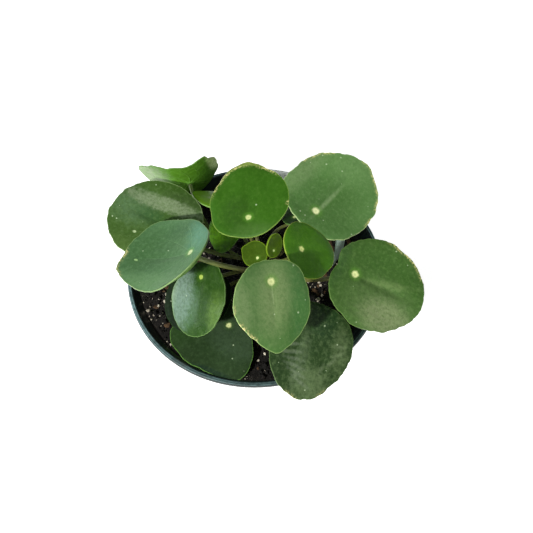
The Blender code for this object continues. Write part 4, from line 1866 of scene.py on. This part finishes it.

# The paler patches laid on each leaf below are painted sheen and reflections; the darker ones are painted
# shadow.
LEAVES = (
    # Painted shade about the dot and a paler, greyer painted sheen at one side.
    Leaf("crown", (-2.5, -10.5, 63), 13, -136, 89, 44, 42, 0.27, (-1.0, 0.4, 1.3), (19, 150, 62, 16, 14, 1.2),
        fresh((51, 95, 16), (43, 84, 14), (76, 114, 40), margin=(122, 150, 66), dot_radius=1.7,
            dot=(186, 198, 132),
            films=(PaintedLight((2, 6), (10, 8), (41, 72, 20), 0.7, soft=0.6),
                PaintedLight((-9, -3), (5, 11), (66, 98, 42), 0.7, soft=0.6))), corner=0.015, corner_at=33,
        margin=0.35, scallop=0.12, wide_margin=edge((28, 36, 0.45), (-30, 24, 0.35)),
        blemishes=edge((-98, 4), (-30, 24, 0.8), (40, 50, 0.8)), brown=0.5,
        bulges=edge((52, 45, -2.0), (-10, 50, -0.95), (132, 32, 1.5), (180, 40, -0.45))),
    # Painted sheen: paler patches and a pale ray along the midrib; a darker painted shade by the dot.
    Leaf("back_right", (34.5, 11, 40), 17, -27, 50, 56.5, 54, 0.24, (3.2, -0.6, -0.2),
        (4, 26, 30, 14, 18, 1.5),
        BladeFinish((82, 122, 62), (74, 114, 56), (112, 146, 92), dust=0.7, dot_radius=2.4,
            dot=(232, 240, 182), margin=(156, 178, 122),
            films=(PaintedLight((12, -5), (18, 13), (62, 100, 42), 0.7, soft=0.8),
                PaintedLight((15, 22), (22, 6), (114, 143, 92), 0.8, soft=0.7),
                PaintedLight((37, 6), (11, 17), (100, 136, 80), 0.6, soft=0.7),
                PaintedLight((9, -1), (12, 1.2), (146, 170, 124), 0.55, soft=0.8, ragged=0.4))), corner=0.019,
        corner_at=-1, wave=0.5, scallop=0.45, valley=0.5, quilt=0.07,
        blemishes=edge((-29, 9), (-59, 11), (-83, 9, 0.8), (66, 16, 0.9), (-5, 10, 0.5), (-17, 6, 0.8),
            (-42, 6), (44, 10, 0.9)),
        bulges=edge((-140, 18, 0.8), (-110, 18, -0.4), (-62, 28), (-8, 16, 1.25), (22, 18, -0.75),
            (53, 18, 0.9), (92, 16, -0.55), (114, 14, 1.2))),
    # Painted sheen at the lower side and along the midrib; painted shade about the dot and at one upper side.
    Leaf("right", (54, -29, 37), 25, -52, -24, 53.5, 51, 0.265, (2.1, 1.3, 1.0), (-11, -50, 38, 24, 5, 1.5),
        BladeFinish((59, 95, 33), (50, 86, 26), (88, 120, 62), quilting=0.6, dot_radius=2.2,
            margin=(86, 116, 56),
            films=(PaintedLight((1, -1), (8, 6), (40, 76, 16), 0.5, soft=0.8),
                PaintedLight((12, 14), (22, 5), (46, 84, 22), 0.5, soft=0.8),
                PaintedLight((19, -11), (21, 15), (84, 108, 62), 0.55),
                PaintedLight((24, -15), (13, 9), (128, 144, 100), 0.85, soft=0.55, ragged=0.3),
                PaintedLight((20, 3), (11, 1.8), (118, 142, 86), 0.38, turn=14, soft=0.8, ragged=1.2),
                PaintedLight((-11, 3), (4.5, 15), (42, 73, 30), 0.7, soft=0.5))), wave=0.6, scallop=0.35, valley=0.9,
        quilt=0.17, blemishes=edge((70, 30, 0.7), (40, 14, 0.5)), brown=0.8,
        bulges=edge((178, 24, -2.9), (-136, 24, 1.5), (-98, 18, 0.7), (-45, 20, -0.45), (-6, 16, 0.5),
            (72, 20, -1.3), (130, 25, -0.5))),
    Leaf("inner_right", (25, -21.5, 50), 36, -11, 9, 33.5, 32.5, 0.34, (-0.4, -2.6, -1.2),
        (16, -35, 35, 14, 12, 1.2),
        fresh((71, 125, 22), (62, 113, 18), (104, 156, 48), dot_radius=1.8, dot=(228, 240, 150),
            margin=(146, 166, 62)), corner=0.021, corner_at=2, scallop=0.15,
        bulges=edge((-45, 35, -0.85), (-15, 14, -0.4), (58, 32, -1.15), (110, 20, 0.35))),
    # Painted sheen: a pale band down the middle; a darker painted shade along one side.
    Leaf("front", (9, -46, 58), 30, -41, -75, 44.5, 40.5, 0.27, (-3.1, 0.6, -2.3), (12, -92, 5, 26, 18, 1.4),
        BladeFinish((72, 110, 54), (64, 102, 46), (106, 132, 82), dot_radius=2.2, margin=(138, 168, 96),
            films=(PaintedLight((14, 14), (22, 6), (52, 100, 48), 0.6, soft=0.7),
                PaintedLight((11, -9), (17, 10), (96, 126, 74), 0.6, soft=0.6),
                PaintedLight((7, 1), (17, 8), (118, 140, 90), 0.8, turn=-6, soft=0.6, ragged=0.4),
                PaintedLight((12, -17), (12, 4.5), (112, 137, 88), 0.8, soft=0.6),
                PaintedLight((6, 0), (6, 0.4), (150, 168, 120), 0.5, soft=0.7, ragged=0.2))), tip=0.036, corner=0.036,
        corner_at=12, valley=0.3, blemishes=edge((-57, 12), (-38, 9, 0.9), (-84, 6, 0.5)),
        bulges=edge((-122, 34, -1.0), (-74, 26, 1.35), (-30, 22, -1.0), (1, 15, 1.15), (28, 18, -0.8),
            (70, 32), (136, 28, 1.25), (176, 18, -0.4))),
    # Painted reflection: a bluish-white sheen over one half; painted shadow of the left leaf by the dot,
    # whose dot and halo are dimmed as in shade.
    Leaf("inner_left", (-29.5, -23.5, 25), 37, -157, -110, 41, 38.5, 0.225, (-3.5, 2.0, 1.0),
        (-4, -154, 40, 14, 8, 1.4),
        BladeFinish((37, 67, 18), (30, 58, 13), (72, 102, 50), quilting=0.2, dot_radius=1.6,
            dot=(160, 182, 84), halo=(70, 110, 30), roughness=0.3, specular=0.2,
            films=(PaintedLight((20, 14), (10, 6), (86, 116, 50), 0.7, soft=0.6),
                PaintedLight((-6, -1), (6, 7), (24, 52, 12), 0.7, soft=0.5),
                PaintedLight((17, -5), (12, 5), (66, 98, 66), 0.6, turn=-10),
                PaintedLight((12, -13), (17, 8), (102, 126, 112), 0.85, turn=-6, soft=0.45, ragged=0.6),
                PaintedLight((15, -20), (16, 2.6), (124, 146, 118), 0.75, turn=-8, soft=0.7))), corner=0.013,
        corner_at=12, bulges=edge((-50, 34, 1.8), (-22, 28, 1.1), (24, 25, -0.45), (125, 30, -0.45))),
    # Painted shadow: a dark band along the lower edge where the rim shades it; a bluish-grey painted sheen
    # near the dot.
    Leaf("low_front_left", (-15.5, -36.5, -8.5), 3, -118, -137, 42.5, 51, 0.26, (0.0, -1.0, -1.0),
        (-12.5, -118, 0, 14, 3, 1.1),
        BladeFinish((41, 61, 34), (35, 53, 28), (66, 88, 56), dust=0.7, dot_radius=1.8, specular=0.15,
            margin=(100, 146, 66), under=(54, 78, 40), halo=(70, 102, 44),
            films=(PaintedLight((27, 15), (14, 3), (22, 44, 32), 0.85, turn=115, soft=0.3, ragged=0.2),
                PaintedLight((3, 9), (11, 17), (57, 76, 54), 0.8, turn=12),
                PaintedLight((14, -17), (22, 8), (38, 66, 24), 0.6, soft=0.7))), tip=0.02, corner=0.08, corner_at=-38,
        wave=0.25, bulges=edge((-40, 28, 2.0), (0, 40, 1.5), (45, 30, 1.2), (74, 28, 3.0))),
    # Painted shadow of the front leaf across the top, with the dot and halo darkened to match; paler painted
    # sheen in the middle.
    Leaf("front_right", (31.5, -51.5, 19), 26, -61, -94, 52, 47.5, 0.29, (-0.3, 0.5, -1.6),
        (-4, -74, 10, 22, 14, 1.5),
        BladeFinish((42, 66, 28), (30, 53, 21), (84, 104, 66), quilting=0.9, roughness=0.42, specular=0.2,
            margin=(80, 106, 56), halo=(46, 72, 36), dot=(54, 82, 42), dot_radius=1.4,
            films=(PaintedLight((-6, 5), (10, 9), (22, 48, 22), 0.85, soft=0.6),
                PaintedLight((24, -17), (13, 6), (33, 55, 24), 0.8),
                PaintedLight((30, 3), (9, 10), (92, 112, 74), 0.7, ragged=1.0),
                PaintedLight((17, -4), (16, 3.4), (86, 106, 74), 0.6, turn=-8, ragged=1.3),
                PaintedLight((10, 17), (13, 4.5), (80, 98, 62), 0.6, ragged=1.3), *SHEEN_RIPPLES)), tip=0.04, corner=0.043,
        corner_at=-10, wave=0.5, quilt=0.26, scallop=0.4, blemishes=edge((-16, 12, 0.5), (25, 10, 0.4)),
        bulges=edge((-80, 14, -0.6), (-54, 18, 0.4), (-22, 16, -0.5), (38, 22, -0.65), (130, 40, 0.6))),
    # Painted reflection: bluish at one end; painted shade in the darker patches.
    Leaf("left", (-33, -23.5, 50), 40, 160, 168, 53.5, 49.5, 0.26, (8.5, 3.2, -1.1),
        (2, -119, 50, 26, 5, 1.6),
        BladeFinish((72, 109, 66), (67, 104, 62), (98, 134, 90), dot_radius=2.0, dot=(190, 204, 152),
            veining=0.35, margin=(108, 134, 78), under=(84, 120, 50),
            films=(PaintedLight((9, -18), (10, 5), (44, 76, 44), 0.7, soft=0.8),
                PaintedLight((28, -5), (19, 14), (54, 88, 46), 0.9, soft=0.7),
                PaintedLight((-6, -10), (9, 13), (74, 126, 104), 0.8, turn=20, soft=0.7),
                PaintedLight((22, 17), (22, 6), (92, 128, 82), 0.8, turn=-6, soft=0.6),
                PaintedLight((-10, 10), (8, 2.2), (112, 150, 82), 0.7, turn=52, soft=0.5, ragged=0.2),
                PaintedLight((33, 1), (1.0, 0.6), (160, 196, 128), 0.8, turn=-25))), corner=0.052, corner_at=37,
        scallop=0.3, curls=edge((138, 55, -2.6)), blemishes=edge((0, 12, 0.8), (-10, 7, 0.8), (20, 12, 0.4)),
        bulges=edge((-62, 30, 4.0), (-28, 36, 2.4), (12, 22, 1.5), (48, 34, -1.4))),
    # Painted sheen: a grey band across the blade; painted shadow of the left leaf along its edge.
    Leaf("back_left", (-46.5, 6.5, 30), 6, -137, 153, 57, 51.5, 0.29, (2.3, 1.2, -0.5),
        (6.5, 180, 11, 30, 15, 1.5),
        BladeFinish((64, 93, 40), (54, 81, 32), (92, 118, 70), quilting=0.4, specular=0.15,
            margin=(136, 158, 108),
            films=(PaintedLight((-5, -5), (9, 8), (38, 60, 26), 0.75, soft=0.7),
                PaintedLight((28, -2), (14, 10), (88, 118, 84), 0.6, soft=0.6),
                PaintedLight((16, -1), (9, 4.5), (40, 74, 34), 0.8, soft=0.7),
                PaintedLight((16, -23), (15, 4), (44, 72, 18), 0.7, soft=0.6),
                PaintedLight((22, 23), (10, 5), (80, 106, 52), 0.6, soft=0.8),
                PaintedLight((2, -17), (14, 5), (50, 69, 34), 0.7, soft=0.5),
                PaintedLight((14, -11), (24, 4.4), (120, 137, 104), 0.9, turn=4, ragged=0.9),
                PaintedLight((19, 12), (0.9, 0.7), (200, 220, 170), 0.85))), corner=0.01, corner_at=56, wave=0.5,
        scallop=0.35, valley=0.5, quilt=0.07, brown=0.3,
        bulges=edge((-4, 20, -1.4), (-50, 22, 0.5), (70, 22, 0.6), (-140, 20, 0.5))),
    Leaf("youngest_left", (2, -15.5, 32), 24, -142, 121, 15.5, 15, 0.3, (-1.0, 0.6, 1.0),
        (21, -125, 35, 5, 4, 0.9),
        fresh((58, 84, 14), (52, 76, 12), (84, 108, 30), margin=(116, 146, 34), dot_radius=0.9,
            specular=0.12), wave=0.1, scallop=0.08, valley=0.1, quilt=0.02, curl=0.1, margin=0.45, brown=0.2,
        bulges=edge((28, 25, 1.2))),
    Leaf("youngest_right", (10.5, -13, 36), 61, -44, 115, 13.5, 11, 0.31, (-0.5, 9.0, 4.0),
        (21, -55, 40, 5, 4, 0.9),
        fresh((66, 94, 10), (50, 72, 6), (88, 114, 24), margin=(116, 146, 34), dot_radius=0.8, specular=0.1),
        tip=0.05, wave=0.1, scallop=0.05, valley=0.1, quilt=0.02, curl=0.1, margin=0.45, brown=0.2),
    Leaf("inner_back_left", (-15, 31, 25), 30, 95, 170, 32, 29.5, 0.3, (9.3, -4.2, 7.3),
        (6, 122, 20, 12, 10, 1.2), fresh((112, 166, 26), (100, 152, 20), (140, 182, 60)), wave=0.2,
        brown=0.3),
    # Painted light: a bright lit centre; painted shadow of the crown along its lower part.
    Leaf("small_left", (-13.5, 13.5, 22), 37, -158, 180, 27, 25.5, 0.315, (-3.3, 2.0, -1.7),
        (10, 150, 15, 9, 8, 1.1),
        fresh((84, 142, 12), (68, 120, 8), (130, 184, 40), dot_radius=1.6, specular=0.1,
            films=(PaintedLight((13, 3), (6.5, 8), (144, 220, 24), 0.9, soft=0.6),
                PaintedLight((4, 13.5), (13, 4.5), (32, 66, 6), 0.7, soft=0.6))), wave=0.2, brown=0.3,
        bulges=edge((85, 55, 3.0))),
    Leaf("behind_crown", (-5.5, 26, 36), 13, 130, 92, 37, 34, 0.31, (3.6, -2.6, -1.8),
        (17.5, 118, 30, 12, 12, 1.2),
        fresh((136, 148, 72), (96, 126, 44), (160, 170, 110), margin=(214, 206, 176)),
        bulges=edge((0, 25))),
    Leaf("small_right", (24, 23, 18), 23, 120, 40, 24, 22, 0.315, (-1.7, 1.8, 1.0), (15, 82, 15, 18, 4, 1.1),
        fresh((20, 50, 3), (15, 42, 2), (40, 66, 20), dot_radius=1.5, specular=0.08), wave=0.2),
    # Painted shade: the whole blade, its dot and margin too, is darkened as in shadow.
    Leaf("low_left", (-26, -20.5, 8), 13, -162, -142, 41, 42, 0.27, (-4.4, 3.0, 0.9),
        (-10, -152, 18, 12, 8, 1.3),
        BladeFinish((17, 32, 12), (13, 27, 9), (36, 54, 30), specular=0.05, margin=(34, 56, 26),
            under=(26, 44, 20), halo=(28, 50, 18), dot=(60, 80, 40))),
    # Painted sheen: greyish-white over one lobe of the underside, and a pale strip along the edge that is
    # partly its rolled rim.
    Leaf("back_turned", (-40, 42, 28), 75, 107, 114, 45, 45.5, 0.41, (10.0, 22.0, 17.0),
        (-8, 155, -15, 39, 2, 1.2),
        fresh((80, 122, 36), (66, 108, 28), (118, 152, 70), under=(77, 126, 27),
            under_films=(PaintedLight((14, 20), (16, 9), (132, 146, 118), 0.85, soft=0.6),
                PaintedLight((-12, -13.5), (14, 3.5), (222, 240, 180), 0.9, turn=-41, soft=0.5))), corner=0.05,
        corner_at=-53, wave=0.2, brown=0.15,
        bulges=edge((60, 30, 1.8), (108, 20, 1.7), (155, 20, -1.5), (-178, 16, 2.2), (-100, 20, 2.0))),
)


@dataclass
class Plant:
    """Everything that grows: the trunk, the new leaf and the 18 leaves."""

    grown_sides: int = 240
    small_sides: int = 96
    small_length: float = 20.0

    def build(self) -> None:
        """Makes the trunk, then each leaf from a pattern disc."""
        TRUNK.build()
        shares = [step / 20 for step in range(1, 18)] + [0.885, 0.915, 0.94, 0.96, 0.977, 0.99, 1.0]
        large = Bench.disc("large_pattern", self.grown_sides, shares)
        small = Bench.disc("small_pattern", self.small_sides, shares)
        for leaf in LEAVES:
            leaf.build(small if leaf.length < self.small_length else large)
        Bench.discard(large, small)


def toward(azimuth: float, elevation: float) -> Vector:
    """Returns the direction with an azimuth counted from +X and an elevation, both in degrees."""
    turn, rise = math.radians(azimuth), math.radians(elevation)
    return Vector((math.cos(turn) * math.cos(rise), math.sin(turn) * math.cos(rise), math.sin(rise)))


@dataclass(frozen=True)
class Lamp:
    """A panel light that is aimed at the plant.

    Attributes:
        name: Its name.
        azimuth: Its direction from the plant, in degrees from +X.
        elevation: Its height over the horizon, in degrees.
        width: Its width.
        height: Its height.
        power: Its power in watts.
        colour: Its colour.
        distance: How far away it hangs.
    """

    name: str
    azimuth: float
    elevation: float
    width: float
    height: float
    power: float
    colour: Colour
    distance: float = 1.3

    def hang(self) -> None:
        """Adds the light."""
        data = bpy.data.lights.new(self.name, "AREA")
        data.shape = "RECTANGLE"
        data.size = self.width
        data.size_y = self.height
        data.energy = self.power
        data.color = self.colour
        lamp = bpy.data.objects.new(self.name, data)
        out = toward(self.azimuth, self.elevation)
        lamp.location = Vector((0, 0, POT.height)) + out * self.distance
        lamp.rotation_euler = (-out).to_track_quat("-Z", "Y").to_euler()
        bpy.context.scene.collection.objects.link(lamp)


@dataclass(frozen=True)
class Glow:
    """A round soft light in the room's surroundings. Its angles are in degrees."""

    azimuth: float
    elevation: float
    radius: float
    strength: float
    colour: Colour

    def light(self, graph: Graph, way: Wire) -> Wire:
        """Adds the glow to the world's graph.

        Args:
            graph: The graph.
            way: The direction that is looked in.

        Returns:
            The glow's light from there.
        """
        facing = graph.vector("DOT_PRODUCT", way, toward(self.azimuth, self.elevation))["Value"]
        outer, inner = (math.cos(math.radians(self.radius * share)) for share in (1.25, 0.75))
        return graph.mix(graph.step(facing, outer, inner, 0.0, self.strength), (0.0, 0.0, 0.0), self.colour,
                         clamp_factor=False)


@dataclass
class Studio:
    """The white floor, the soft light and the camera at the photograph's angle."""

    camera_at: Vector = Vector((6.7, -202.9, 401.8)) * MM
    camera_aim: Vector = Vector((6.734, -0.834, 80.0)) * MM
    lens: float = 42.23
    sensor: float = 36.0
    around: Colour = (0.12, 0.12, 0.12)
    floor_size: float = 8.0
    floor_colour: Colour = (0.9, 0.9, 0.9)
    floor_glow: float = 0.74
    lamps: tuple[Lamp, ...] = (
        Lamp("key", azimuth=234, elevation=35, width=0.07, height=0.07, power=22.0,
             colour=(1.0, 0.98, 0.94)),
        Lamp("window", azimuth=180, elevation=26, width=0.7, height=0.46, power=6.4,
             colour=(0.86, 0.94, 1.0)),
    )
    glows: tuple[Glow, ...] = (
        Glow(azimuth=-8, elevation=50, radius=24, strength=0.5, colour=(1.0, 0.99, 0.94)),
        Glow(azimuth=-100, elevation=60, radius=26, strength=0.6, colour=(1.0, 1.0, 0.98)),
        Glow(azimuth=133, elevation=6, radius=22, strength=0.8, colour=(0.82, 0.93, 1.0)),
    )

    def build(self) -> None:
        """Sets up the stage."""
        bpy.context.scene.view_settings.view_transform = "Standard"
        self._camera()
        self._floor()
        self._world()
        for lamp in self.lamps:
            lamp.hang()

    @staticmethod
    def spare(lamp: str, *pieces: str) -> None:
        """Lets a lamp shine past pieces whose shadow the photograph doesn't show on what is behind them.

        Args:
            lamp: The lamp's name.
            pieces: The pieces' names.
        """
        passed = bpy.data.collections.new(lamp + " passes")
        bpy.data.objects[lamp].light_linking.blocker_collection = passed
        for piece in pieces:
            passed.objects.link(bpy.data.objects[piece])
        for entry in passed.collection_objects:
            entry.light_linking.link_state = "EXCLUDE"

    def _camera(self) -> None:
        """Places the camera."""
        data = bpy.data.cameras.new("photo camera")
        data.lens = self.lens
        data.sensor_width = self.sensor
        data.clip_start = 0.01
        camera = bpy.data.objects.new("photo camera", data)
        camera.location = self.camera_at
        camera.rotation_euler = (self.camera_aim - self.camera_at).to_track_quat("-Z", "Y").to_euler()
        bpy.context.scene.collection.objects.link(camera)
        bpy.context.scene.camera = camera

    def _floor(self) -> None:
        """Lays the floor, which glows so that it looks white from the camera."""
        Bench.take()
        bpy.ops.mesh.primitive_plane_add(size=self.floor_size, location=(0, 0, 0))
        floor = Bench.named("studio_floor")
        paint = Paint("studio floor", self.floor_colour, roughness=0.9, specular=0.1)
        paint.set("Emission Color", (1.0, 1.0, 1.0))
        paint.set("Emission Strength", self.floor_glow)
        floor.data.materials.append(paint.done())

    def _world(self) -> None:
        """Fills the room with dim light and a few soft glows."""
        world = bpy.data.worlds.new("room")
        world.use_nodes = True
        graph = Graph(world.node_tree)
        way = graph.node("TexCoord")["Generated"]
        total: Feed = self.around
        for glow in self.glows:
            total = graph.mix(1.0, total, glow.light(graph, way), blend_type="ADD")
        graph.feed(world.node_tree.nodes["Background"].inputs["Color"], total)
        bpy.context.scene.world = world


def main() -> None:
    """Builds the studio and the plant."""
    logging.basicConfig(level=logging.INFO, format="%(name)s: %(message)s")
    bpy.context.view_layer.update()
    Bench.take()
    studio = Studio()
    studio.build()
    Pot().build()
    Soil().build()
    PlantLabel().build()
    Plant().build()
    studio.spare("key", "crown_blade", "inner_right_blade", "nursery_pot")


if __name__ == "__main__":
    main()
